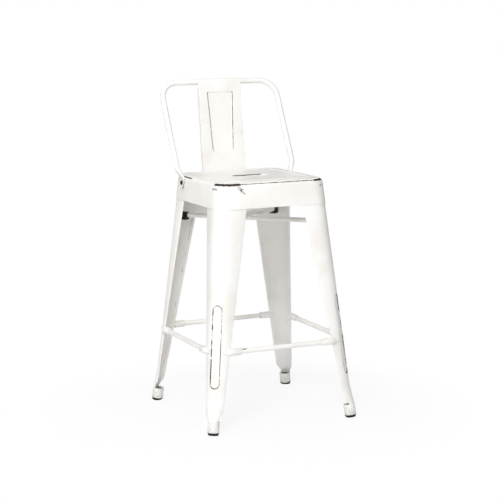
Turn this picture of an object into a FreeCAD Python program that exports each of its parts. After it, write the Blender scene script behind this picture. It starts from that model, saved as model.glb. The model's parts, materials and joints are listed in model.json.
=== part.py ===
"""White sheet-steel counter stool with a low tube back.

Every length is in millimetres.  +Z is up, +X is the sitter's right-hand side seen from the
front of the picture, -Y is the front of the seat.  The origin lies on the floor, midway
between the four feet.
"""
import FreeCAD
import Part
import math
import os

from FreeCAD import Placement, Rotation, Vector

# Seat pan
seat_height = 610.0
seat_width = 293.4
seat_corner_top = 38.0
skirt_depth = 64.0
seat_edge_radius = 13.0
seat_sheet = 1.5
border_inset = 27.0
border_width = 10.0
border_depth = 1.6
border_draft = 2.0
slot_length = 94.0
slot_width = 28.0
slot_lip_depth = 9.0
slot_lip_radius = 2.5
apron_depth = 121.0
apron_width = 214.0
apron_corner = 12.0

# Legs
stance_width = 408.8
leg_sheet = 1.5
corner_over_sleeve = 0.4
leg_corner_knee = 32.0
knee_under_rib = 28.0
tuck_gap = 0.2
leg_top_gap = 0.2
flange_at_seat = 80.5
flange_at_floor = 28.0
hem_width = 7.0
hem_tuck = 4.0
sleeve_radius = 14.4
sleeve_length = 27.0
notch_top = 58.0
notch_reach = 19.0
notch_run_out = 0.3
rib_bottom = 112.0
rib_top = 317.0
rib_width = 26.0
rib_depth = 2.5
rib_draft = 2.6

# Rubber feet
foot_radius = 14.6
foot_thickness = 6.0
foot_flat_depth = 1.5
foot_plug_length = 22.0
foot_plug_gap = 0.2
foot_edge_radius = 1.2

# Foot rails
rail_height = 200.5
rail_diameter = 12.0
collar_diameter = 18.0
collar_mouth_diameter = 17.0
collar_length = 28.0
stub_length = 18.0
socket_end_diameter = 6.0
stub_gap = 0.2

# Cross brace and its rubber bumpers
brace_drop = 109.0
brace_diameter = 12.5
brace_rise = 8.5
brace_flat_half = 16.0
brace_ramp_start = 62.0
brace_ramp_end = 30.0
brace_bend_radius = 30.0
brace_end_gap = 0.2
bumper_length = 22.0
bumper_width = 20.0
bumper_height = 20.0
bumper_drop = 2.5
bumper_distance = 182.0
bumper_corner = 3.0
bumper_gap = 0.15

# Back frame
back_tube_diameter = 14.0
back_beside_seat = 16.7
back_rise = 228.5
back_top_behind = 49.5
back_seat_inset = 69.2
back_corner_radius = 45.0
back_straight_rise = 18.0
tab_width = 29.0
tab_thickness = 5.0
tab_gap = 0.1
tab_start_drop = 9.0
tab_inset = 67.2

# Back slat
slat_width = 120.0
slat_sheet = 1.2
slat_gap = 0.1
slat_hook_angle = 200.0
slat_kink_drop = 9.0
slat_kink_step = 10.4
slat_land_drop = 20.0
slat_foot_drop = 58.0
slat_bend_radius = 6.0
slat_return = 7.0
panel_top_drop = 25.5
panel_foot_rise = 45.0
panel_top_width = 71.0
panel_bottom_width = 57.5
panel_corner = 6.0
panel_depth = 2.4
panel_draft = 2.4

# Fasteners
bolt_diameter = 6.0
bolt_head_diameter = 12.0
bolt_head_height = 4.5
hole_clearance = 0.3
hole_reach = 12.0
nut_across_flats = 10.0
nut_height = 5.0
washer_diameter = 14.0
washer_thickness = 1.2
seat_gap = 0.1
bolt_tail = 2.0
side_bolt_drop = 19.0
slat_bolt_drop = 39.0
slat_bolt_spacing = 72.0

# Lengths by which cutters and joined pieces run past each other, and a tolerance for sorting edges
overrun = 1.0
tiny = 0.01

# Sizes that follow from the ones above
seat_half = seat_width / 2
stance_half = stance_width / 2
tuck = seat_sheet + tuck_gap
lean = (stance_half + tuck - seat_half) / seat_height
skirt_bottom = seat_height - skirt_depth
leg_corner_top = seat_corner_top - tuck
leg_top = seat_height - seat_edge_radius - leg_top_gap
foot_tilt = math.atan(lean * math.sqrt(2))
foot_centre_drop = foot_radius * math.sin(foot_tilt)
foot_face_height = foot_centre_drop - foot_flat_depth
sleeve_bottom = foot_face_height + foot_thickness * math.cos(foot_tilt)
sleeve_top = sleeve_bottom + sleeve_length * math.cos(foot_tilt)
leg_corner_foot = sleeve_radius - corner_over_sleeve
knee_height = rib_bottom - knee_under_rib
corner_share = 1 - math.sqrt(0.5)
back_half_width = seat_half + back_beside_seat
back_top_y = seat_half + back_top_behind
back_seat_y = seat_half - back_seat_inset
tab_y = seat_half - tab_inset
apron_bottom = seat_height - apron_depth
brace_height = seat_height - brace_drop
back_top_height = seat_height + back_rise
back_straight_end = seat_height + back_straight_rise
tab_start = seat_height - tab_start_drop
panel_top = back_top_height - panel_top_drop
panel_bottom = seat_height + panel_foot_rise
side_bolt_height = seat_height - side_bolt_drop
slat_bolt_height = seat_height - slat_bolt_drop

# The slat runs straight from its kink over the skirt to the sheet's turn round the top tube
slat_kink_height = seat_height - slat_kink_drop
slat_land_height = seat_height - slat_land_drop
slat_foot_height = seat_height - slat_foot_drop
slat_turn = back_tube_diameter / 2 + slat_gap + slat_sheet / 2
slat_rise = back_top_height - slat_kink_height
slat_reach = back_top_y - (seat_half + lean * slat_kink_drop + slat_gap + slat_sheet / 2 + slat_kink_step)
slat_tilt = math.atan2(slat_reach, slat_rise) - math.asin(slat_turn / math.hypot(slat_reach, slat_rise))
slat_lean = math.tan(slat_tilt)


def skirt_plane(z):
    """Distance from the middle of the stool to the outer face of the skirt at height z."""
    return seat_half + lean * (seat_height - z)


def leg_plane(z):
    """Distance from the middle of the stool to the outer face of a leg at height z."""
    return skirt_plane(z) - tuck


def leg_radius(z):
    """Outer radius of a leg's rounded corner, which opens fast over the foot and slowly above."""
    if z < knee_height:
        share = (z - sleeve_top) / (knee_height - sleeve_top)
        return leg_corner_foot + (leg_corner_knee - leg_corner_foot) * share
    share = (z - knee_height) / (seat_height - knee_height)
    return leg_corner_knee + (leg_corner_top - leg_corner_knee) * share


def flange_width(z):
    """Width of a leg's flange at height z, measured from the outer face of the other one."""
    return flange_at_floor + (flange_at_seat - flange_at_floor) * z / seat_height


def polygon(points):
    """Closed wire through the points."""
    return Part.makePolygon(list(points) + [points[0]])


def wire_of(edges):
    """One wire from edges that follow each other."""
    return Part.Wire(edges)


def line(a, b):
    """Straight edge."""
    return Part.LineSegment(a, b).toShape()


def arc(a, middle, b):
    """Circular edge from a through middle to b."""
    return Part.Arc(a, middle, b).toShape()


def loft(wires):
    """Ruled solid through closed wires."""
    return Part.makeLoft(wires, True, True)


def rounded_square(half, radius, z):
    """Square wire with rounded corners, centred on the Z axis."""
    flat = half - radius
    deep = flat + radius * math.sqrt(0.5)
    edges = []
    for turn in range(4):
        spin = Rotation(Vector(0, 0, 1), 90 * turn)
        a = spin.multVec(Vector(half, -flat, z))
        b = spin.multVec(Vector(half, flat, z))
        c = spin.multVec(Vector(deep, deep, z))
        d = spin.multVec(Vector(flat, half, z))
        edges += [line(a, b), arc(b, c, d)]
    return wire_of(edges)


def stadium(length, width, z):
    """Slot-shaped wire along X, centred on the Z axis."""
    r = width / 2
    s = length / 2 - r
    return wire_of([
        line(Vector(-s, -r, z), Vector(s, -r, z)),
        arc(Vector(s, -r, z), Vector(s + r, 0, z), Vector(s, r, z)),
        line(Vector(s, r, z), Vector(-s, r, z)),
        arc(Vector(-s, r, z), Vector(-s - r, 0, z), Vector(-s, -r, z)),
    ])


def prism(wire, height):
    """Solid raised from a flat wire along Z."""
    return Part.Face(wire).extrude(Vector(0, 0, height))


def rod(a, b, radius):
    """Cylinder from point a to point b."""
    return Part.makeCylinder(radius, (b - a).Length, a, b - a)


def quarter_turns(shape):
    """The shape in the rear right corner turned to all four corners, by name."""
    names = ["rear_right", "rear_left", "front_left", "front_right"]
    return {name: shape.copy().rotate(Vector(0, 0, 0), Vector(0, 0, 1), 90 * i)
            for i, name in enumerate(names)}


def pan_body(inset):
    """Solid block of the seat pan, shrunk by inset on the top and sides."""
    top = seat_height - inset
    sections = []
    for z in (skirt_bottom, top):
        radius = leg_radius(z) + tuck - inset
        sections.append(rounded_square(skirt_plane(z) - inset, radius, z))
    block = loft(sections)
    rim = [e for e in block.Edges if e.BoundBox.ZMin > top - tiny]
    return block.makeFillet(seat_edge_radius - inset, rim)


def border_ring(grow, depth):
    """Ring of the pressed border line, grown by the sheet on the hidden side."""
    outer = seat_half - border_inset + grow
    inner = seat_half - border_inset - border_width - grow
    radius = seat_corner_top - border_inset / 2
    low = seat_height - depth
    outside = loft([rounded_square(outer - border_draft, radius, low),
                    rounded_square(outer, radius, seat_height)])
    inside = loft([rounded_square(inner + border_draft, radius - border_width, low),
                   rounded_square(inner, radius - border_width, seat_height)])
    return outside.cut(inside)


def seat_pan():
    """Pressed seat with its skirt, stamped border and lipped hand slot."""
    pan = pan_body(0).cut(pan_body(seat_sheet))
    pan = pan.fuse(border_ring(seat_sheet, border_depth + seat_sheet))
    pan = pan.cut(border_ring(0, border_depth))
    wide = slot_width + 2 * seat_sheet
    long = slot_length + 2 * seat_sheet
    lip_low = seat_height - slot_lip_depth
    pan = pan.fuse(prism(stadium(long, wide, lip_low), slot_lip_depth))
    pan = pan.cut(prism(stadium(slot_length, slot_width, lip_low - overrun), slot_lip_depth + 2 * overrun))
    mouth = [e for e in pan.Edges if is_slot_mouth(e)]
    pan = pan.makeFillet(slot_lip_radius, mouth)
    pan = pan.fuse(rear_apron())
    return pan.cut(bolt_holes("frame") + bolt_holes("slat")).removeSplitter()


def rear_apron():
    """Deeper middle part of the rear skirt, with round lower corners."""
    half = apron_width / 2
    low, high = apron_bottom, skirt_bottom + seat_sheet
    sections = []
    for z in (low, high):
        y = skirt_plane(z)
        sections.append(polygon([Vector(-half, y, z), Vector(half, y, z),
                                 Vector(half, y - seat_sheet, z), Vector(-half, y - seat_sheet, z)]))
    corners = [Vector(0, 0, high), Vector(-half, 0, high), Vector(-half, 0, low),
               Vector(half, 0, low), Vector(half, 0, high), Vector(0, 0, high)]
    outline = rounded_path(corners, [seat_sheet / 2, apron_corner, apron_corner, seat_sheet / 2])
    return loft(sections).common(Part.Face(outline).extrude(Vector(0, seat_width, 0)))


def is_slot_mouth(edge):
    """True for the edges of the hand slot that lie in the top face."""
    box = edge.BoundBox
    at_top = abs(box.ZMin - seat_height) < tiny
    return at_top and box.XLength <= slot_length and box.YMax < slot_width and box.YMin > -slot_width


def leg_section(z, sheet):
    """Angle-shaped wire of a leg at height z, in the rear right corner."""
    g = leg_plane(z)
    r = leg_radius(z)
    w = flange_width(z) - sheet
    middle = g - r
    out = middle + r * math.sqrt(0.5)
    inn = middle + (r - sheet) * math.sqrt(0.5)
    i = g - sheet
    return wire_of([
        line(Vector(g - w, g, z), Vector(middle, g, z)),
        arc(Vector(middle, g, z), Vector(out, out, z), Vector(g, middle, z)),
        line(Vector(g, middle, z), Vector(g, g - w, z)),
        line(Vector(g, g - w, z), Vector(i, g - w, z)),
        line(Vector(i, g - w, z), Vector(i, middle, z)),
        arc(Vector(i, middle, z), Vector(inn, inn, z), Vector(middle, i, z)),
        line(Vector(middle, i, z), Vector(g - w, i, z)),
        line(Vector(g - w, i, z), Vector(g - w, g, z)),
    ])


def hem_section(z):
    """Folded strip behind the flange that faces +Y, along its free edge."""
    t = leg_sheet
    g = leg_plane(z)
    x = g - flange_width(z) + t
    return polygon([Vector(x, g - t, z), Vector(x + hem_width, g - t, z),
                    Vector(x + hem_width, g - 2 * t, z), Vector(x, g - 2 * t, z)])


def hem(low, high):
    """Folded edge of the flange that faces +Y: the strip and its round nose."""
    strip = loft([hem_section(low), hem_section(high)])
    ends = []
    for z in (low, high):
        g = leg_plane(z)
        ends.append(Vector(g - flange_width(z) + leg_sheet, g - leg_sheet, z))
    return strip.fuse(rod(ends[0], ends[1], leg_sheet))


def swap_xy(shape):
    """Mirror image across the diagonal plane of the rear right corner."""
    return shape.mirror(Vector(0, 0, 0), Vector(1, -1, 0))


def core_block(inset, low, high):
    """Filled corner of a leg between two heights, shrunk by inset."""
    wires = []
    for z in (low, high):
        g = leg_plane(z) - inset
        r = leg_radius(z) - inset
        back = g - flange_at_seat
        mid = g - r + r * math.sqrt(0.5)
        wires.append(wire_of([
            line(Vector(back, g, z), Vector(g - r, g, z)),
            arc(Vector(g - r, g, z), Vector(mid, mid, z), Vector(g, g - r, z)),
            line(Vector(g, g - r, z), Vector(g, back, z)),
            line(Vector(g, back, z), Vector(back, back, z)),
            line(Vector(back, back, z), Vector(back, g, z)),
        ]))
    return loft(wires)


def corner_point(z):
    """Point on the outer corner of the rear right leg at height z."""
    d = leg_plane(z) - leg_radius(z) * corner_share
    return Vector(d, d, z)


def corner_frame(z):
    """Placement on the corner line: X across the corner, Y up the leg, Z outwards."""
    up = corner_point(rib_top) - corner_point(rib_bottom)
    across = Vector(-1, 1, 0)
    return Placement(corner_point(z), Rotation(across, up, across.cross(up), "YXZ"))


def rib_prism(grow):
    """Drafted slot-shaped tool that presses the rib into a leg's corner."""
    length = (corner_point(rib_top) - corner_point(rib_bottom)).Length
    reach = rib_width / 4
    draft = rib_draft / rib_depth
    wires = []
    for level in (-rib_depth - reach, reach):
        spread = 2 * draft * level + 2 * grow
        wires.append(stadium(length + spread, rib_width + spread, level))
    tool = loft(wires)
    tool.rotate(Vector(0, 0, 0), Vector(0, 0, 1), 90)
    tool.Placement = corner_frame((rib_bottom + rib_top) / 2).multiply(tool.Placement)
    return tool


def notch_tool():
    """Cutter that takes the flange in to the sleeve with an S-shaped edge."""
    a = Vector(leg_plane(sleeve_top) - notch_reach, 0, sleeve_top)
    b = Vector(leg_plane(notch_top) - flange_width(notch_top) - notch_run_out, 0, notch_top)
    middle = (a + b) * 0.5
    rise = b.z - a.z
    drop = a.x - b.x
    radius = (rise ** 2 + drop ** 2) / (4 * drop)
    half_turn = math.atan2(drop, rise)
    lift = radius * math.sin(half_turn)
    step = radius * (1 - math.cos(half_turn))
    low_mid = Vector(a.x - step, 0, a.z + lift)
    high_mid = Vector(b.x + step, 0, b.z - lift)
    far = b.x - flange_at_floor
    low = sleeve_bottom
    edges = [
        arc(a, low_mid, middle),
        arc(middle, high_mid, b),
        line(b, Vector(far, 0, b.z)),
        line(Vector(far, 0, b.z), Vector(far, 0, low)),
        line(Vector(far, 0, low), Vector(a.x, 0, low)),
        line(Vector(a.x, 0, low), a),
    ]
    face = Part.Face(wire_of(edges))
    depth = sleeve_radius
    face.translate(Vector(0, leg_plane(notch_top) - depth, 0))
    return face.extrude(Vector(0, 2 * depth, 0))


def foot_axis_point(z):
    """Point on the axis of the rear right sleeve at height z."""
    d = leg_plane(z) - leg_corner_foot
    return Vector(d, d, z)


def foot_axis():
    """Unit vector up the axis of the rear right sleeve."""
    direction = foot_axis_point(1) - foot_axis_point(0)
    return direction.normalize()


def sleeve():
    """Rolled sleeve at the bottom of a leg."""
    base = foot_axis_point(sleeve_bottom)
    outer = Part.makeCylinder(sleeve_radius, sleeve_length, base, foot_axis())
    inner = Part.makeCylinder(sleeve_radius - leg_sheet, sleeve_length, base, foot_axis())
    return outer, inner


def rail_plane():
    """Distance from the middle of the stool to the axis of a foot rail."""
    return leg_plane(rail_height) - leg_sheet / 2


def rail_edge():
    """Place along a foot rail where the free edge of the leg's flange lies."""
    return leg_plane(rail_height) - flange_width(rail_height)


def rail_socket(inset, extra):
    """Tapered pocket on the flange that faces +Y, which takes the end of a rail."""
    start = Vector(rail_edge() - extra, rail_plane(), rail_height)
    end = Vector(rail_edge() + stub_length, rail_plane(), rail_height)
    taper = (collar_diameter - socket_end_diameter) / 2 / stub_length
    wide = collar_diameter / 2 - inset + taper * extra
    narrow = socket_end_diameter / 2 - inset
    cone = Part.makeCone(wide, narrow, extra + stub_length, start, Vector(1, 0, 0))
    return cone.fuse(Part.makeSphere(narrow, end))


def bolt_places():
    """Owner, outward direction and middle of the outermost plate for each of the four bolts."""
    places = []
    for side in (-1, 1):
        z = side_bolt_height
        places.append(("frame", Vector(side, 0, lean).normalize(), Vector(side * tab_x(z), tab_y, z)))
        z = slat_bolt_height
        places.append(("slat", Vector(0, 1, lean).normalize(),
                       Vector(side * slat_bolt_spacing / 2, slat_foot_y(z), z)))
    return places


def bolt_holes(owner):
    """Clearance holes for the bolts of the back frame or of the slat, square to the skirt."""
    radius = (bolt_diameter + hole_clearance) / 2
    return [rod(point - outward * hole_reach, point + outward * hole_reach, radius)
            for name, outward, point in bolt_places() if name == owner]


def leg():
    """One leg in the rear right corner: pressed angle, hems, rib, sockets and sleeve."""
    foot = sleeve_top - overrun
    body = loft([leg_section(z, leg_sheet) for z in (foot, knee_height, leg_top)])
    fold = hem(foot, skirt_bottom + hem_tuck)
    body = body.fuse([fold, swap_xy(fold)])
    notch = notch_tool()
    body = body.cut([notch, swap_xy(notch)])
    low = rib_bottom - rib_width
    high = rib_top + rib_width
    pad = core_block(0, low, high)
    pad = pad.cut(core_block(rib_depth + leg_sheet, low - overrun, high + overrun))
    body = body.fuse(pad.common(rib_prism(leg_sheet)))
    body = body.cut(rib_prism(0).cut(core_block(rib_depth, low - overrun, high + overrun)))
    outer, inner = sleeve()
    body = body.fuse(outer).cut(inner)
    pocket = rail_socket(leg_sheet, hem_width)
    shell = rail_socket(0, 0)
    inside = core_block(leg_sheet, rail_height - collar_diameter, rail_height + collar_diameter)
    shell = shell.cut(inside)
    mouth = rod(Vector(rail_edge() - hem_width, rail_plane(), rail_height),
                Vector(rail_edge(), rail_plane(), rail_height), collar_diameter / 2 + stub_gap)
    body = body.cut([mouth, swap_xy(mouth)])
    body = body.fuse([shell, swap_xy(shell)])
    body = body.cut([pocket, swap_xy(pocket)])
    return body.removeSplitter()


def legs():
    """Four legs; the rear two are drilled for the bolts of the back frame."""
    made = quarter_turns(leg())
    for name in ("rear_left", "rear_right"):
        made[name] = made[name].cut(bolt_holes("frame"))
    return {"leg_" + name: shape for name, shape in made.items()}


def feet():
    """Rubber feet: a disc square to the leg, cut flat on the floor, and a plug in the sleeve."""
    axis = foot_axis()
    base = foot_axis_point(foot_face_height)
    disc = Part.makeCylinder(foot_radius, foot_thickness, base, axis)
    rims = [e for e in disc.Edges if e.Curve.TypeId == "Part::GeomCircle"]
    disc = disc.makeFillet(foot_edge_radius, rims)
    plug_radius = sleeve_radius - leg_sheet - foot_plug_gap
    plug = Part.makeCylinder(plug_radius, foot_plug_length + foot_thickness, base, axis)
    foot = disc.fuse(plug)
    span = 4 * foot_radius
    floor = Part.makeBox(span, span, span, base - Vector(span / 2, span / 2, span + base.z))
    foot = foot.cut(floor).removeSplitter()
    return {"foot_" + name: shape for name, shape in quarter_turns(foot).items()}


def foot_rail():
    """Rear foot rail: a round bar with a collar and a stub at each end."""
    y = rail_plane()
    edge = rail_edge() - stub_gap
    mouth = edge - collar_length
    bar = rod(Vector(-mouth, y, rail_height), Vector(mouth, y, rail_height), rail_diameter / 2)
    pieces = []
    for side in (-1, 1):
        axis = Vector(side, 0, 0)
        cone = Part.makeCone(collar_mouth_diameter / 2, collar_diameter / 2, collar_length,
                             Vector(side * mouth, y, rail_height), axis)
        inset = leg_sheet + stub_gap
        stub = Part.makeCone(collar_diameter / 2 - inset, socket_end_diameter / 2 - inset, stub_length,
                             Vector(side * edge, y, rail_height), axis)
        pieces += [cone, stub]
    return bar.fuse(pieces).removeSplitter()


def foot_rails():
    """Four foot rails, one on each side."""
    names = ["rear", "left", "front", "right"]
    rail = foot_rail()
    return {"foot_rail_" + name: rail.copy().rotate(Vector(0, 0, 0), Vector(0, 0, 1), 90 * i)
            for i, name in enumerate(names)}


def brace_reach(z):
    """How far out along the diagonal a brace bar may run before it meets the leg."""
    top = z + brace_diameter / 2
    inner = leg_radius(top) - leg_sheet
    centre = (leg_plane(top) - leg_radius(top)) * math.sqrt(2)
    return centre + math.sqrt(inner ** 2 - (brace_diameter / 2) ** 2) - brace_end_gap


def rounded_path(points, radii):
    """Wire of straight runs joined by arcs tangent to them, one radius per inner point."""
    edges = []
    start = points[0]
    for before, corner, after, radius in zip(points, points[1:], points[2:], radii):
        to_before = (before - corner).normalize()
        to_after = (after - corner).normalize()
        half = to_before.getAngle(to_after) / 2
        back = radius / math.tan(half)
        bisector = (to_before + to_after).normalize()
        p = corner + to_before * back
        q = corner + to_after * back
        middle = corner + bisector * (radius / math.sin(half) - radius)
        edges += [line(start, p), arc(p, middle, q)]
        start = q
    edges.append(line(start, points[-1]))
    return wire_of(edges)


def sweep_round(path, radius):
    """Round bar along a path that starts straight."""
    start = path.Edges[0].valueAt(path.Edges[0].FirstParameter)
    direction = path.Edges[0].tangentAt(path.Edges[0].FirstParameter)
    section = Part.Wire([Part.makeCircle(radius, start, direction)])
    return path.makePipeShell([section], True, False)


def brace_bars():
    """Two crossing bars; the upper one rises over the lower one and both are flat there."""
    reach = brace_reach(brace_height)
    z = brace_height
    joint = z + brace_rise / 2
    radius = brace_diameter / 2
    lower = rod(Vector(-reach, 0, z), Vector(reach, 0, z), radius)
    up = z + brace_rise
    points = [Vector(-reach, 0, z), Vector(-brace_ramp_start, 0, z), Vector(-brace_ramp_end, 0, up),
              Vector(brace_ramp_end, 0, up), Vector(brace_ramp_start, 0, z), Vector(reach, 0, z)]
    upper = sweep_round(rounded_path(points, [brace_bend_radius] * 4), radius)
    half = brace_flat_half
    flat = Part.makeBox(2 * half, 4 * radius, radius, Vector(-half, -2 * radius, joint - seat_gap / 2))
    lower = lower.cut(flat)
    flat.translate(Vector(0, 0, seat_gap - radius))
    upper = upper.cut(flat)
    axis = Vector(0, 0, 1)
    lower.rotate(Vector(0, 0, 0), axis, 135)
    upper.rotate(Vector(0, 0, 0), axis, 45)
    return {"brace_bar_lower": lower, "brace_bar_upper": upper}


def bumpers():
    """Rubber blocks threaded on the ends of the brace bars."""
    block = Part.makeBox(bumper_length, bumper_width, bumper_height)
    block.translate(Vector(bumper_distance - bumper_length / 2, -bumper_width / 2,
                           brace_height - bumper_drop - bumper_height / 2))
    block = block.makeFillet(bumper_corner, block.Edges)
    hole = rod(Vector(0, 0, brace_height), Vector(stance_width, 0, brace_height),
               brace_diameter / 2 + bumper_gap)
    block = block.cut(hole).rotate(Vector(0, 0, 0), Vector(0, 0, 1), 45)
    return {"bumper_" + name: shape for name, shape in quarter_turns(block).items()}


def back_plane_y(z):
    """Depth of the back frame's axis at height z."""
    slope = (back_top_y - back_seat_y) / (back_top_height - seat_height)
    return back_seat_y + slope * (z - seat_height)


def round_section(centre, direction, radius):
    """Circle as four quarter arcs, from the front side round by the outer one."""
    across = Vector(1, 0, 0)
    along = direction.cross(across).normalize()
    marks = [along * -1, across, along, across * -1]
    s = math.sqrt(0.5)
    edges = []
    for i in range(4):
        a = marks[i - 1] + marks[i]
        b = marks[i] + marks[(i + 1) % 4]
        edges.append(arc(centre + a * (radius * s), centre + marks[i] * radius,
                         centre + b * (radius * s)))
    return wire_of(edges)


def flat_section(centre, width, thickness):
    """Flattened tube: two flats across Y and two round edges."""
    r = thickness / 2
    s = width / 2 - r
    c = centre
    return wire_of([
        arc(c + Vector(-r, -s, 0), c + Vector(0, -s - r, 0), c + Vector(r, -s, 0)),
        line(c + Vector(r, -s, 0), c + Vector(r, s, 0)),
        arc(c + Vector(r, s, 0), c + Vector(0, s + r, 0), c + Vector(-r, s, 0)),
        line(c + Vector(-r, s, 0), c + Vector(-r, -s, 0)),
    ])


def tab_x(z):
    """Distance from the middle of the stool to the middle of a tab's thickness."""
    return skirt_plane(z) + tab_gap + tab_thickness / 2


def tab():
    """Flattened lower end of the back frame on the right side, drilled for its bolt."""
    start = Vector(tab_x(tab_start), tab_y, tab_start)
    end = Vector(tab_x(side_bolt_height), tab_y, side_bolt_height)
    r = tab_width / 2
    plate = loft([flat_section(start, tab_width, tab_thickness),
                  flat_section(end, tab_width, tab_thickness)])
    normal = Vector(1, 0, lean).normalize()
    disc = Part.makeCylinder(r, tab_thickness, end - normal * (tab_thickness / 2), normal)
    neck_top = Vector(back_half_width, back_plane_y(back_straight_end), back_straight_end)
    direction = Vector(0, back_plane_y(1) - back_plane_y(0), 1)
    neck = loft([round_section(neck_top, direction, back_tube_diameter / 2),
                 flat_section(start, tab_width, tab_thickness)])
    return neck.fuse([plate, disc]).cut(bolt_holes("frame"))


def back_frame():
    """Bent tube of the back with a flattened tab at each lower end."""
    low_y = back_plane_y(back_straight_end)
    top_y = back_plane_y(back_top_height)
    w = back_half_width
    points = [Vector(-w, low_y, back_straight_end), Vector(-w, top_y, back_top_height),
              Vector(w, top_y, back_top_height), Vector(w, low_y, back_straight_end)]
    arch = sweep_round(rounded_path(points, [back_corner_radius] * 2), back_tube_diameter / 2)
    right = tab()
    left = right.mirror(Vector(0, 0, 0), Vector(1, 0, 0))
    return arch.fuse([right, left]).removeSplitter()


def offset_run(points, distance):
    """Points of a flat path in the YZ plane moved sideways by distance."""
    moved = []
    for i, point in enumerate(points):
        before = (points[i] - points[i - 1]).normalize() if i else None
        after = (points[i + 1] - points[i]).normalize() if i + 1 < len(points) else None
        normals = [Vector(0, -d.z, d.y) for d in (before, after) if d]
        mean = (normals[0] + normals[-1]).normalize()
        moved.append(point + mean * (distance / mean.dot(normals[0])))
    return moved


def turn_signs(points):
    """Which way a flat path in the YZ plane turns at each inner point."""
    signs = []
    for a, b, c in zip(points, points[1:], points[2:]):
        signs.append(1 if (b - a).cross(c - b).x > 0 else -1)
    return signs


def bent_sheet(points, radius, sheet):
    """Face of a bent sheet seen edge on, centred on the path through the points."""
    signs = turn_signs(points)
    sides = []
    for distance in (sheet / 2, -sheet / 2):
        radii = [radius - sign * distance for sign in signs]
        sides.append(rounded_path(offset_run(points, distance), radii))
    ends = [[w.Edges[0].Vertexes[0].Point, w.Edges[-1].Vertexes[-1].Point] for w in sides]
    caps = [line(ends[0][i], ends[1][i]) for i in (0, 1)]
    return Part.Face(Part.Wire(Part.__sortEdges__(sides[0].Edges + sides[1].Edges + caps)))


def slat_line(z):
    """Depth of the middle of the slat's sheet at height z, on its straight part."""
    y = back_top_y - slat_turn * math.cos(slat_tilt)
    return y + slat_lean * (z - back_top_height - slat_turn * math.sin(slat_tilt))


def slat_foot_y(z):
    """Depth of the middle of the slat's sheet where it lies on the rear skirt."""
    return skirt_plane(z) + slat_gap + slat_sheet / 2


def slat_hook():
    """Part of the slat that curls over the top tube."""
    inner = back_tube_diameter / 2 + slat_gap
    centre = Vector(-slat_width / 2, back_top_y, back_top_height)
    axis = Vector(1, 0, 0)
    ring = Part.makeCylinder(inner + slat_sheet, slat_width, centre, axis, slat_hook_angle)
    ring = ring.cut(Part.makeCylinder(inner, slat_width, centre, axis))
    return ring


def slat_frame():
    """Placement on the slat's front face at the middle of the panel: Y up, Z to the front."""
    z = (panel_top + panel_bottom) / 2
    up = Vector(0, slat_lean, 1)
    across = Vector(1, 0, 0)
    front = across.cross(up)
    centre = Vector(0, slat_line(z), z) + front.normalize() * (slat_sheet / 2)
    return Placement(centre, Rotation(across, up, front, "YXZ"))


def panel_wire(grow, level):
    """Tapered outline of the slat's pressed panel with rounded corners."""
    half = (panel_top - panel_bottom) / 2 * math.sqrt(1 + slat_lean ** 2)
    top = panel_top_width / 2 + grow
    low = panel_bottom_width / 2 + grow
    points = [Vector(0, half + grow, level), Vector(-top, half + grow, level),
              Vector(-low, -half - grow, level), Vector(low, -half - grow, level),
              Vector(top, half + grow, level), Vector(0, half + grow, level)]
    return rounded_path(points, [panel_corner + grow] * 4)


def panel_tool(grow, depth):
    """Drafted tool that presses the panel into the slat."""
    reach = panel_depth
    draft = panel_draft / panel_depth
    tool = loft([panel_wire(grow - draft * depth, -depth), panel_wire(grow + draft * reach, reach)])
    tool.Placement = slat_frame()
    return tool


def slat_returns():
    """Narrow flanges turned back along both sides of the slat."""
    top = back_top_height - back_tube_diameter
    low = slat_kink_height + slat_bend_radius
    parts = []
    for side in (-1, 1):
        x = side * (slat_width / 2 - slat_sheet / 2) - slat_sheet / 2
        corners = [Vector(x, slat_line(low), low), Vector(x, slat_line(low) + slat_return, low),
                   Vector(x, slat_line(top) + slat_return, top), Vector(x, slat_line(top), top)]
        parts.append(Part.Face(polygon(corners)).extrude(Vector(slat_sheet, 0, 0)))
    return parts


def back_slat():
    """Slat from the top tube to the rear skirt, with a hook, a panel and a set-in foot."""
    top = back_top_height
    points = [Vector(0, slat_line(top), top), Vector(0, slat_line(slat_kink_height), slat_kink_height),
              Vector(0, slat_foot_y(slat_land_height), slat_land_height),
              Vector(0, slat_foot_y(slat_foot_height), slat_foot_height)]
    face = bent_sheet(points, slat_bend_radius, slat_sheet)
    face.translate(Vector(-slat_width / 2, 0, 0))
    slat = face.extrude(Vector(slat_width, 0, 0))
    slat = slat.fuse([slat_hook()] + slat_returns())
    press = panel_tool(slat_sheet, panel_depth + slat_sheet)
    slat = slat.fuse(press.cut(front_space())).cut(panel_tool(0, panel_depth))
    return slat.cut(bolt_holes("slat")).removeSplitter()


def front_space():
    """Everything in front of the slat's front face, used to trim the pressing tool."""
    size = slat_width * 2
    block = Part.makeBox(size, size, size, Vector(-size / 2, -size / 2, 0))
    block.Placement = slat_frame()
    return block


def bolt(length, outward, seat_point):
    """Dome-head bolt whose head lies on seat_point and whose shank runs inwards."""
    head = Part.makeSphere(head_sphere_radius(), Vector(0, 0, bolt_head_height - head_sphere_radius()))
    keep = Part.makeCylinder(bolt_head_diameter / 2, bolt_head_height)
    head = head.common(keep)
    shank = Part.makeCylinder(bolt_diameter / 2, length + tiny, Vector(0, 0, -length))
    shape = head.fuse(shank).removeSplitter()
    shape.Placement = Placement(seat_point, Rotation(Vector(0, 0, 1), outward))
    return shape


def head_sphere_radius():
    """Radius of the sphere whose cap is the bolt's dome."""
    r = bolt_head_diameter / 2
    return (r ** 2 + bolt_head_height ** 2) / (2 * bolt_head_height)


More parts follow.
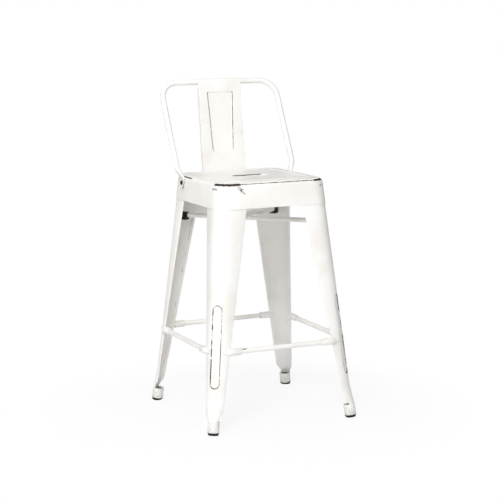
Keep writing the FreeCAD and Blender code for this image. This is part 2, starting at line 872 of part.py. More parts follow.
def nut(outward, seat_point):
    """Plain hexagon nut with its face on seat_point, on the inner side of the sheets."""
    corner = nut_across_flats / math.sqrt(3)
    hexagon = polygon([Vector(corner * math.cos(math.radians(60 * i)),
                              corner * math.sin(math.radians(60 * i)), 0) for i in range(6)])
    shape = prism(hexagon, -nut_height)
    hole = Part.makeCylinder((bolt_diameter + seat_gap) / 2, nut_height, Vector(0, 0, -nut_height))
    shape = shape.cut(hole)
    shape.Placement = Placement(seat_point, Rotation(Vector(0, 0, 1), outward))
    return shape


def washer(outward, seat_point):
    """Flat washer under a nut."""
    ring = Part.makeCylinder(washer_diameter / 2, washer_thickness, Vector(0, 0, -washer_thickness))
    hole = Part.makeCylinder((bolt_diameter + seat_gap) / 2, washer_thickness,
                             Vector(0, 0, -washer_thickness))
    ring = ring.cut(hole)
    ring.Placement = Placement(seat_point, Rotation(Vector(0, 0, 1), outward))
    return ring


def joint_set(outward, face_point, grip):
    """Bolt, washer and nut that clamp a stack of the given grip."""
    inner = face_point - outward * (grip + seat_gap)
    stack = grip + washer_thickness + nut_height + 2 * seat_gap + bolt_tail
    return {
        "bolts": bolt(stack, outward, face_point + outward * seat_gap),
        "washers": washer(outward, inner),
        "nuts": nut(outward, inner - outward * (washer_thickness + seat_gap)),
    }


def fasteners():
    """Bolts, washers and nuts of the back frame and of the slat, one group of each kind."""
    groups = {}
    tilt = 1 / math.sqrt(1 + lean ** 2)
    side_grip = (tab_gap + seat_sheet + tuck_gap + leg_sheet) * tilt + tab_thickness
    slat_grip = slat_gap * tilt + slat_sheet + seat_sheet * tilt
    sizes = {"frame": (tab_thickness, side_grip), "slat": (slat_sheet, slat_grip)}
    for owner, outward, point in bolt_places():
        plate, grip = sizes[owner]
        for kind, shape in joint_set(outward, point + outward * (plate / 2), grip).items():
            groups.setdefault(owner + "_" + kind, []).append(shape)
    return {name: Part.makeCompound(shapes) for name, shapes in groups.items()}


def main():
    """Build every piece and write one STEP file for each."""
    os.makedirs("parts", exist_ok=True)
    pieces = {"seat_pan": seat_pan(), "back_frame": back_frame(), "back_slat": back_slat()}
    for group in (legs(), feet(), foot_rails(), brace_bars(), bumpers(), fasteners()):
        pieces.update(group)
    for name, shape in pieces.items():
        shape.exportStep("parts/" + name + ".step")
        solids = len(shape.Solids)
        print(f"{name}: {solids} solid(s), {shape.Volume:.0f} mm3, valid {shape.isValid()}")


main()
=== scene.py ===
"""Antiqued white sheet-steel counter stool with a low tube back, dressed round its frame.

Lengths are named in millimetres and turned to metres where they meet the mesh.  +Z is up, -Y is
the front of the seat and the origin lies on the floor, midway between the four feet.  A point
counts as lying on a plane when it is nearer to it than NEAR.
"""

import json
import logging
import math
from contextlib import contextmanager
from dataclasses import dataclass, field
from enum import Enum
from typing import Callable, Iterator, Sequence

import bmesh
import bpy
from mathutils import Matrix, Vector

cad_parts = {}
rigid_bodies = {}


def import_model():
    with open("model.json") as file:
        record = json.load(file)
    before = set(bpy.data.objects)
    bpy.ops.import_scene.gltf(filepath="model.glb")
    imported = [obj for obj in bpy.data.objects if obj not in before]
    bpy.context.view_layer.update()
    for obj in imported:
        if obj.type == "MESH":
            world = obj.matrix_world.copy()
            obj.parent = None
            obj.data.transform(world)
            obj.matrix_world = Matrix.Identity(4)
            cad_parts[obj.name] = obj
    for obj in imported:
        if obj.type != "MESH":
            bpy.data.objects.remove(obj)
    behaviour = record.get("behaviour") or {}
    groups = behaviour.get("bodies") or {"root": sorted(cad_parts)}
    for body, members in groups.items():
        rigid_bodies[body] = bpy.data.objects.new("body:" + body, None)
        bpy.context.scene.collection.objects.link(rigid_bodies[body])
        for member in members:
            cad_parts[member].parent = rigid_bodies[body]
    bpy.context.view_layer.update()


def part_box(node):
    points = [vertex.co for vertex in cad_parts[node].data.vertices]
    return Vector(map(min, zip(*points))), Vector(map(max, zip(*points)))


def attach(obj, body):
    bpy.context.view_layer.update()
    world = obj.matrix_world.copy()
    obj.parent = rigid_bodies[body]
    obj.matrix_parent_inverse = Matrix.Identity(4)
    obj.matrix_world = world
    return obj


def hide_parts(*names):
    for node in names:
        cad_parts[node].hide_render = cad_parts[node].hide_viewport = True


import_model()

MM = 0.001
NEAR = 0.1
MERGE = MM / 100
Place = tuple[float, float, float]
ORIGIN = Vector((0.0, 0.0, 0.0))
X_AXIS = Vector((1.0, 0.0, 0.0))
Y_AXIS = Vector((0.0, 1.0, 0.0))
Z_AXIS = Vector((0.0, 0.0, 1.0))
LOG = logging.getLogger("stool")


class Corner(Enum):
    """The four corners, as quarter turns from the rear right one."""

    REAR_RIGHT = 0
    REAR_LEFT = 1
    FRONT_LEFT = 2
    FRONT_RIGHT = 3


class Side(Enum):
    """The four sides, as quarter turns from the rear one."""

    REAR = 0
    LEFT = 1
    FRONT = 2
    RIGHT = 3


class Mode(Enum):
    """What is picked in edit mode."""

    POINT = "VERT"
    EDGE = "EDGE"
    FACE = "FACE"


@dataclass(frozen=True)
class Body:
    """Sizes that several pieces share, with the laws of the leaning sides."""

    seat_height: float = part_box("seat_pan")[1].z / MM
    seat_width: float = 293.4
    seat_corner: float = 38.0
    skirt_depth: float = 64.0
    seat_sheet: float = 1.5
    tuck_gap: float = 0.2
    stance_width: float = 408.8
    leg_sheet: float = 1.5
    sleeve_radius: float = 14.4
    corner_over_sleeve: float = 0.4
    knee_radius: float = 32.0
    knee_height: float = 84.0
    sleeve_length: float = 27.0
    foot_radius: float = 14.6
    foot_thickness: float = 6.0
    foot_flat_depth: float = 1.5
    flange_at_seat: float = 80.5
    flange_at_floor: float = 28.0
    rail_height: float = 200.5

    @property
    def tuck(self) -> float:
        """How far the legs lie inside the skirt's outer face."""
        return self.seat_sheet + self.tuck_gap

    @property
    def lean(self) -> float:
        """Outward run of the sides for each millimetre down."""
        return (self.stance_width / 2 + self.tuck - self.seat_width / 2) / self.seat_height

    @property
    def skirt_bottom(self) -> float:
        """Height of the skirt's lower edge."""
        return self.seat_height - self.skirt_depth

    @property
    def foot_tilt(self) -> float:
        """Angle of a sleeve's axis to the vertical, in radians."""
        return math.atan(self.lean * math.sqrt(2))

    @property
    def foot_face_height(self) -> float:
        """Height of the middle of a foot's lower face, before it is cut flat."""
        return self.foot_radius * math.sin(self.foot_tilt) - self.foot_flat_depth

    @property
    def sleeve_bottom(self) -> float:
        """Height of the sleeve's lower end on its axis."""
        return self.foot_face_height + self.foot_thickness * math.cos(self.foot_tilt)

    @property
    def sleeve_top(self) -> float:
        """Height of the sleeve's upper end on its axis."""
        return self.sleeve_bottom + self.sleeve_length * math.cos(self.foot_tilt)

    def skirt_plane(self, z: float) -> float:
        """Distance from the middle to the skirt's outer face at height z."""
        return self.seat_width / 2 + self.lean * (self.seat_height - z)

    def leg_plane(self, z: float) -> float:
        """Distance from the middle to a leg's outer face at height z."""
        return self.skirt_plane(z) - self.tuck

    def leg_radius(self, z: float) -> float:
        """Outer radius of a leg's round corner at height z, which opens fast up to the knee.

        Args:
            z: Height in millimetres.

        Returns:
            The radius in millimetres.
        """
        low = self.sleeve_radius - self.corner_over_sleeve
        if z < self.knee_height:
            share = (z - self.sleeve_top) / (self.knee_height - self.sleeve_top)
            return low + (self.knee_radius - low) * share
        share = (z - self.knee_height) / (self.seat_height - self.knee_height)
        return self.knee_radius + (self.seat_corner - self.tuck - self.knee_radius) * share

    def flange_width(self, z: float) -> float:
        """Width of a leg's flange at height z, from the outer face of the other one."""
        return self.flange_at_floor + (self.flange_at_seat - self.flange_at_floor) * z / self.seat_height

    @property
    def rail_plane(self) -> float:
        """Depth of the front rail's axis."""
        return self.leg_sheet / 2 - self.leg_plane(self.rail_height)

    def sleeve_point(self, z: float) -> Vector:
        """Point on the axis of the rear right sleeve at height z."""
        d = self.leg_plane(z) - self.sleeve_radius + self.corner_over_sleeve
        return Vector((d, d, z))


BODY = Body()


def clear_selection() -> None:
    """Leaves edit mode and deselects every object."""
    if bpy.context.object and bpy.context.object.mode != "OBJECT":
        bpy.ops.object.mode_set(mode="OBJECT")
    bpy.ops.object.select_all(action="DESELECT")


@contextmanager
def editing(piece: bpy.types.Object) -> Iterator[None]:
    """Opens edit mode on one piece with nothing picked, and closes it again.

    Args:
        piece: The mesh object to edit.

    Yields:
        Nothing, while edit mode is open.
    """
    clear_selection()
    bpy.context.view_layer.objects.active = piece
    piece.select_set(True)
    bpy.ops.object.mode_set(mode="EDIT")
    bpy.ops.mesh.select_all(action="DESELECT")
    yield
    bpy.ops.object.mode_set(mode="OBJECT")


def pick(piece: bpy.types.Object, mode: Mode, test: Callable[[Vector, Vector], bool]) -> None:
    """Picks points, edges or faces in edit mode by their place and direction.

    Args:
        piece: The mesh object in edit mode.
        mode: What is picked.
        test: Says yes to a middle in millimetres and a normal, or an edge's direction.
    """
    bpy.ops.mesh.select_mode(type=mode.value)
    bpy.ops.mesh.select_all(action="DESELECT")
    mesh = bmesh.from_edit_mesh(piece.data)
    mesh.normal_update()
    for item in {Mode.POINT: mesh.verts, Mode.EDGE: mesh.edges, Mode.FACE: mesh.faces}[mode]:
        if mode is Mode.POINT:
            middle, way = item.co, item.normal
        elif mode is Mode.EDGE:
            a, b = (v.co for v in item.verts)
            middle, way = (a + b) / 2, (b - a).normalized()
        else:
            middle, way = item.calc_center_median(), item.normal
        if test(middle / MM, way):
            item.select_set(True)
    mesh.select_flush_mode()
    bmesh.update_edit_mesh(piece.data)


def extrude(way: Vector) -> None:
    """Extrudes what is picked by a way given in millimetres."""
    bpy.ops.mesh.extrude_region_move(TRANSFORM_OT_translate={"value": way * MM})


class Pen:
    """Draws chains of edges in a piece's edit mode by extruding and spinning its last point."""

    def __init__(self, name: str) -> None:
        """Starts an empty piece and opens its edit mode.

        Args:
            name: Name of the piece.
        """
        clear_selection()
        bpy.ops.mesh.primitive_plane_add(size=MM)
        self.piece = bpy.context.object
        self.piece.name = self.piece.data.name = name
        bpy.ops.object.mode_set(mode="EDIT")
        bpy.ops.mesh.select_all(action="SELECT")
        bpy.ops.mesh.delete(type="VERT")
        self.at = ORIGIN.copy()
        self.rings: list[set[tuple[float, ...]]] = []

    def start(self, point: Vector) -> None:
        """Puts down the first point of a new chain, given in millimetres.

        Args:
            point: Place of the point.
        """
        bpy.ops.mesh.select_mode(type="VERT")
        bpy.ops.mesh.select_all(action="DESELECT")
        bpy.ops.mesh.primitive_plane_add(size=MM, location=point * MM)
        bpy.ops.mesh.merge(type="CENTER")
        self.at = point.copy()

    def to(self, *points: Vector) -> None:
        """Draws straight on through points given in millimetres.

        Args:
            points: The points, in order.
        """
        for point in points:
            extrude(point - self.at)
            self.at = point.copy()

    def arc(self, centre: Vector, axis: Vector, degrees: float, steps: int) -> None:
        """Draws on round a centre, turning by the right-hand rule about the axis.

        Args:
            centre: Middle of the arc in millimetres.
            axis: Direction of the arc's axis.
            degrees: How far the arc turns.
            steps: Number of edges.
        """
        angle = math.radians(degrees)
        bpy.ops.mesh.spin(steps=steps, angle=-angle, center=centre * MM, axis=axis)
        self.at = centre + Matrix.Rotation(angle, 3, axis) @ (self.at - centre)

    def close(self) -> None:
        """Joins the last point of the chain to its first and keeps the places of the ring's points."""
        bpy.ops.mesh.select_linked()
        bpy.ops.mesh.remove_doubles(threshold=MERGE)
        mesh = bmesh.from_edit_mesh(self.piece.data)
        self.rings.append({tuple(v.co) for v in mesh.verts if v.select})

    def pick_rings(self, *numbers: int) -> None:
        """Picks the edges of whole rings by their number.

        Args:
            numbers: Numbers of the rings, from 0.
        """
        bpy.ops.mesh.select_mode(type="EDGE")
        bpy.ops.mesh.select_all(action="DESELECT")
        mesh = bmesh.from_edit_mesh(self.piece.data)
        for edge in mesh.edges:
            ends = {tuple(v.co) for v in edge.verts}
            if any(ends <= self.rings[number] for number in numbers):
                edge.select_set(True)
        bmesh.update_edit_mesh(self.piece.data)

    def bridge(self, cuts: Sequence[int] = ()) -> None:
        """Joins each ring to the next with faces.

        Args:
            cuts: Number of extra loops between each pair of rings, none where it is left out.
        """
        for number in range(len(self.rings) - 1):
            self.pick_rings(number, number + 1)
            extra = cuts[number] if number < len(cuts) else 0
            bpy.ops.mesh.bridge_edge_loops(number_cuts=extra, interpolation="LINEAR")

    def cap(self, *numbers: int) -> None:
        """Fills whole rings with one face each.

        Args:
            numbers: Numbers of the rings, from 0.
        """
        for number in numbers:
            self.pick_rings(number)
            bpy.ops.mesh.edge_face_add()

    def finish(self) -> bpy.types.Object:
        """Turns every face outwards and leaves edit mode.

        Returns:
            The piece.
        """
        bpy.ops.mesh.select_mode(type="VERT")
        bpy.ops.mesh.select_all(action="SELECT")
        bpy.ops.mesh.normals_make_consistent(inside=False)
        bpy.ops.object.mode_set(mode="OBJECT")
        return self.piece


def spun(name: str, profile: Callable[[Pen], None], centre: Vector, axis: Vector,
         steps: int) -> bpy.types.Object:
    """Turns an open profile round an axis into a closed solid.

    Args:
        name: Name of the piece.
        profile: Draws the profile with the pen it is given.
        centre: A point on the axis in millimetres.
        axis: Direction of the axis.
        steps: Number of faces round the axis.

    Returns:
        The piece.
    """
    pen = Pen(name)
    profile(pen)
    bpy.ops.mesh.select_all(action="SELECT")
    bpy.ops.mesh.spin(steps=steps, angle=math.tau, center=centre * MM, axis=axis)
    bpy.ops.mesh.select_all(action="SELECT")
    bpy.ops.mesh.remove_doubles(threshold=MERGE)
    return pen.finish()


def bevel(piece: bpy.types.Object, width: float, segments: int, angle: float = 35.0) -> None:
    """Rounds the piece's sharp edges with an applied Bevel modifier.

    Args:
        piece: The mesh object.
        width: Width in millimetres.
        segments: Number of faces across the round.
        angle: Least angle between faces, in degrees, that counts as sharp.
    """
    tool = piece.modifiers.new("edge", "BEVEL")
    tool.width = width * MM
    tool.segments = segments
    tool.limit_method = "ANGLE"
    tool.angle_limit = math.radians(angle)
    tool.miter_outer = "MITER_ARC"
    apply_modifiers(piece)


def thicken(piece: bpy.types.Object, sheet: float, offset: float) -> None:
    """Gives a sheet its thickness with an applied Solidify modifier.

    Args:
        piece: The mesh object.
        sheet: Thickness in millimetres.
        offset: -1 to grow inwards, 0 to grow both ways.
    """
    tool = piece.modifiers.new("sheet", "SOLIDIFY")
    tool.thickness = sheet * MM
    tool.offset = offset
    tool.use_even_offset = True
    apply_modifiers(piece)


def apply_modifiers(piece: bpy.types.Object) -> None:
    """Applies every modifier of the piece in turn.

    Args:
        piece: The mesh object.
    """
    clear_selection()
    bpy.context.view_layer.objects.active = piece
    piece.select_set(True)
    for tool in list(piece.modifiers):
        bpy.ops.object.modifier_apply(modifier=tool.name)


def smooth(piece: bpy.types.Object, angle: float = 40.0) -> None:
    """Shades the piece smooth, with sharp edges above an angle in degrees.

    Args:
        piece: The mesh object.
        angle: Least angle between faces that stays sharp.
    """
    clear_selection()
    bpy.context.view_layer.objects.active = piece
    piece.select_set(True)
    bpy.ops.object.shade_smooth_by_angle(angle=math.radians(angle))


def joined(name: str, pieces: Sequence[bpy.types.Object]) -> bpy.types.Object:
    """Joins pieces into one object under a name.

    Args:
        name: Name of the joined piece.
        pieces: The objects, of which the first one stays.

    Returns:
        The joined piece.
    """
    clear_selection()
    for piece in pieces:
        piece.select_set(True)
    bpy.context.view_layer.objects.active = pieces[0]
    bpy.ops.object.join()
    pieces[0].name = pieces[0].data.name = name
    return pieces[0]


def copied(piece: bpy.types.Object, name: str, move: Matrix) -> bpy.types.Object:
    """Copies a piece with a mesh of its own and moves the copy's points.

    Args:
        piece: The object to copy.
        name: Name of the copy.
        move: Movement of the copy, in metres.

    Returns:
        The copy.
    """
    clear_selection()
    piece.select_set(True)
    bpy.context.view_layer.objects.active = piece
    bpy.ops.object.duplicate()
    twin = bpy.context.object
    twin.name = twin.data.name = name
    twin.data.transform(move)
    if move.determinant() < 0:
        twin.data.flip_normals()
    return twin


def quarter(turns: int) -> Matrix:
    """Movement by quarter turns about the stool's middle."""
    return Matrix.Rotation(math.radians(90 * turns), 4, "Z")


def srgb(code: str) -> tuple[float, float, float, float]:
    """Linear colour with alpha from an sRGB hex code such as "#f4f2ee".

    Args:
        code: The hex code.

    Returns:
        Red, green, blue and alpha from 0 to 1.
    """
    values = [int(code[i:i + 2], 16) / 255 for i in (1, 3, 5)]
    linear = [v / 12.92 if v <= 0.04045 else ((v + 0.055) / 1.055) ** 2.4 for v in values]
    return (*linear, 1.0)


class Recipe:
    """A material under construction, with one way to add a node."""

    def __init__(self, name: str) -> None:
        """Starts a material with its shader.

        Args:
            name: Name of the material.
        """
        self.material = bpy.data.materials.new(name)
        self.material.use_nodes = True
        self.tree = self.material.node_tree
        self.shader = self.tree.nodes["Principled BSDF"]
        self.place = self.node("ShaderNodeTexCoord").outputs["Object"]

    def node(self, kind: str, inputs: dict | None = None, **settings: object) -> bpy.types.Node:
        """Adds a node.

        Args:
            kind: The node's type.
            inputs: Values or output sockets for the node's inputs, by name or number.
            settings: The node's own properties.

        Returns:
            The node.
        """
        made = self.tree.nodes.new(kind)
        for key, value in settings.items():
            setattr(made, key, value)
        for key, value in (inputs or {}).items():
            if isinstance(value, bpy.types.NodeSocket):
                self.tree.links.new(value, made.inputs[key])
            else:
                made.inputs[key].default_value = value
        return made

    def link(self, output: bpy.types.NodeSocket, socket: str) -> None:
        """Links an output to one of the shader's sockets."""
        self.tree.links.new(output, self.shader.inputs[socket])

    def math(self, operation: str, *values: object, clamp: bool = False) -> bpy.types.NodeSocket:
        """Result of one sum on numbers or sockets.

        Args:
            operation: Name of the sum.
            values: Numbers or output sockets, in order.
            clamp: Whether the result is kept between 0 and 1.

        Returns:
            The socket with the result.
        """
        return self.node("ShaderNodeMath", dict(enumerate(values)), operation=operation,
                         use_clamp=clamp).outputs[0]

    def noise(self, size: float, detail: float = 3.0, roughness: float = 0.55,
              place: bpy.types.NodeSocket | None = None) -> bpy.types.NodeSocket:
        """Noise from 0 to 1 whose lumps are about size millimetres across.

        Args:
            size: Size of the lumps.
            detail: Number of finer layers.
            roughness: Strength of each finer layer.
            place: Where it is read, or none for the piece itself.

        Returns:
            The socket with the noise.
        """
        inputs = {"Vector": place or self.place, "Scale": 1 / (size * MM), "Detail": detail,
                  "Roughness": roughness}
        return self.node("ShaderNodeTexNoise", inputs).outputs["Fac"]

    def ramp(self, value: bpy.types.NodeSocket, low: float, high: float,
             out_low: float = 0.0, out_high: float = 1.0) -> bpy.types.NodeSocket:
        """Smooth step of a value from low to high.

        Args:
            value: The value.
            low: Where the step begins.
            high: Where the step ends.
            out_low: Result at low.
            out_high: Result at high.

        Returns:
            The socket with the result.
        """
        inputs = {"Value": value, "From Min": low, "From Max": high, "To Min": out_low, "To Max": out_high}
        return self.node("ShaderNodeMapRange", inputs, interpolation_type="SMOOTHSTEP").outputs["Result"]

    def mix(self, share: bpy.types.NodeSocket, a: object, b: object) -> bpy.types.NodeSocket:
        """Mix of two colours by a share.

        Args:
            share: Share of the second colour.
            a: First colour or socket.
            b: Second colour or socket.

        Returns:
            The socket with the colour.
        """
        # The colours of this node are its inputs 6 and 7, and its output 2.
        made = self.node("ShaderNodeMix", {"Factor": share}, data_type="RGBA")
        for socket, value in ((made.inputs[6], a), (made.inputs[7], b)):
            if isinstance(value, bpy.types.NodeSocket):
                self.tree.links.new(value, socket)
            else:
                socket.default_value = value
        return made.outputs[2]

    def grain(self, size: float, depth: float, strength: float) -> None:
        """Roughens the surface with a bump.

        Args:
            size: Size of the grain's lumps in millimetres.
            depth: Depth of the grain in millimetres.
            strength: Share of the bump that shows.
        """
        bump = self.node("ShaderNodeBump", {"Strength": strength, "Distance": depth * MM,
                                            "Height": self.noise(size, 2.0)})
        self.link(bump.outputs["Normal"], "Normal")


@dataclass(frozen=True)
class WearAndShadeLine:
    """A line, in millimetres, of worn paint, or of painted shade round the slat's panel and the left tab.

    A ring above 0 darkens the outline at that distance round the line instead of the line itself, and a
    folded line counts in all four corners.
    """

    start: Place
    end: Place
    reach: float
    strength: float = 1.0
    ring: float = 0.0
    folded: bool = False


def chain(points: Sequence[Place], reach: float, strength: float) -> list[WearAndShadeLine]:
    """Darkened lines from each point to the next."""
    return [WearAndShadeLine(a, b, reach, strength) for a, b in zip(points, points[1:])]


@dataclass(frozen=True)
class WearAndShade:
    """Places where hands, shoes and the brush have worn the paint, and lines of painted shade round the
    slat's panel and the left tab.

    Each method gives the lines of one place, each chain with its reach in millimetres and its strength.
    A run holds places along a straight edge.  A corner or a chip holds angles round a corner, from the
    seat's side at 0 to its front at 90.
    """

    rim_inset: float = 2.5
    rim_drop: float = 4.0
    left_corner: tuple[int, ...] = (8, 32, 55, 75, 90)
    left_corner_end: float = -92.0
    left_chip: tuple[int, ...] = (2, 24)
    left_chip_drop: float = 12.0
    right_corner: tuple[int, ...] = (84, 60, 38)
    right_chip: tuple[int, ...] = (62, 40)
    right_chip_drop: float = 14.0
    front_run: tuple[int, ...] = (-94, 10, 108)
    right_run: tuple[int, ...] = (-104, -20, 66)
    left_run: tuple[int, ...] = (36, 108)
    stain_top: tuple[float, float, float] = (-96.0, -2.0, -4.0)
    stain_low: tuple[float, float, float] = (-84.0, -3.0, -22.0)
    slot_edge: float = 14.5
    slot_half: float = 42.0
    seen_right: float = 0.91
    seen_front: float = 0.41
    left_upright: tuple[float, float] = (736.0, 804.0)
    right_upright: tuple[float, float] = (640.0, 762.0)
    rail_run: tuple[float, float] = (-98.0, -112.0)
    rail_rise: float = 5.0
    tab_face: float = 2.5
    tab_edge: tuple[tuple[float, float], ...] = ((1.0, 601), (1.0, 592), (0.8, 582), (0.4, 577))
    panel_top_gap: float = 2.0
    panel_bottom_gap: float = 6.0
    rib_low: float = 126.0
    rib_high: float = 303.0
    rib_ring: float = 12.2

    def marks(self) -> list[WearAndShadeLine]:
        """All the darkened lines of the stool: wear, and painted shade round the slat's panel and the left
        tab.
        """
        return self.rim() + self.slot() + self.tube() + self.rail() + self.tab() + self.panel() + self.ribs()

    def corner(self, degrees: Sequence[float], inset: float, z: float, side: int = 1) -> list[Place]:
        """Points on one of the seat's front corners.

        Args:
            degrees: Angles of the points, from the seat's side at 0 to its front at 90.
            inset: How far the points lie inside the skirt's face.
            z: Height of the points.
            side: 1 for the left corner, -1 for the right one.

        Returns:
            The points, in the order of the angles.
        """
        middle, r = BODY.seat_corner - BODY.seat_width / 2, BODY.seat_corner - inset
        turns = [math.radians(angle) for angle in degrees]
        return [(side * (middle - r * math.cos(turn)), middle - r * math.sin(turn), z) for turn in turns]

    def rim(self) -> list[WearAndShadeLine]:
        """Rubbed lines along the seat's upper edge.

        Returns:
            The lines, with a patch of staining below the front left corner as the last one.
        """
        inset, z, rim = self.rim_inset, BODY.seat_height - self.rim_drop, BODY.seat_width / 2 - self.rim_inset
        turned = self.corner(self.left_corner, inset, z) + [(self.left_corner_end, -rim, z)]
        found = chain(turned, reach=7.0, strength=1.1)
        found += chain(self.corner(self.left_chip, 0, z - self.left_chip_drop), reach=6.0, strength=0.75)
        found += chain([(x, -rim, z) for x in self.front_run], reach=3.2, strength=0.72)
        found += chain(self.corner(self.right_corner, inset, z, -1), reach=6.0, strength=1.0)
        found += chain(self.corner(self.right_chip, 0, z - self.right_chip_drop, -1), reach=7.0,
                       strength=0.6)
        found += chain([(rim, y, z) for y in self.right_run], reach=3.2, strength=0.7)
        found += chain([(-rim, y, z) for y in self.left_run], reach=4.0, strength=0.82)
        tan_mark = [(x, out - rim, z + drop) for x, out, drop in (self.stain_top, self.stain_low)]
        found += chain(tan_mark, reach=11.0, strength=0.5)
        return found

    def slot(self) -> list[WearAndShadeLine]:
        """Rubbed line along the rear edge of the hand slot."""
        z = BODY.seat_height - 1
        return chain([(x, self.slot_edge, z) for x in (-self.slot_half, self.slot_half)], reach=3.0,
                     strength=0.85)

    def tube(self) -> list[WearAndShadeLine]:
        """Dark lines along the side of both uprights that faces the front and the right.

        Returns:
            The lines of the left and the right upright.
        """
        found = []
        right, front = self.seen_right * BACK.tube_radius, self.seen_front * BACK.tube_radius
        for x, run in ((-BACK.half_width, self.left_upright), (BACK.half_width, self.right_upright)):
            found += chain([(x + right, BACK.plane_y(z) - front, z) for z in run], reach=3.4, strength=1.0)
        return found

    def rail(self) -> list[WearAndShadeLine]:
        """Rubbed line over the left collar of the front rail."""
        y, z = BODY.rail_plane, BODY.rail_height + self.rail_rise
        return chain([(x, y, z) for x in self.rail_run], reach=6.0, strength=1.1)

    def tab(self) -> list[WearAndShadeLine]:
        """Painted contact shadow along the front edge of the left tab."""
        edge = [(-BACK.tab_x(z) - self.tab_face, BACK.tab_y - BACK.tab_width / 2 * share, z)
                for share, z in self.tab_edge]
        return chain(edge, reach=3.2, strength=0.85)

    def panel(self) -> list[WearAndShadeLine]:
        """Painted shade along the edges of the recessed panel, partly wear: up its side, over its top and
        down again.

        Returns:
            The lines, from the lower left to the lower right corner.
        """
        top, low = BACK.panel_top_width / 2, BACK.panel_bottom_width / 2
        high_z, low_z = BACK.panel_top - self.panel_top_gap, BACK.panel_bottom + self.panel_bottom_gap
        shape = ((-low, low_z), (-top, high_z), (top, high_z), (low, low_z))
        return chain([(x, BACK.line_y(z) - BACK.slat_sheet / 2, z) for x, z in shape], reach=2.2,
                     strength=0.74)

    def ribs(self) -> list[WearAndShadeLine]:
        """Darkened outline round the pressed ribs of all four legs.

        Returns:
            One folded line with a ring round it.
        """
        ends = []
        for z in (self.rib_low, self.rib_high):
            d = BODY.leg_plane(z) - BODY.leg_radius(z) * (1 - math.sqrt(0.5))
            ends.append((d, d, z))
        return [WearAndShadeLine(ends[0], ends[1], reach=2.4, strength=0.74, ring=self.rib_ring, folded=True)]


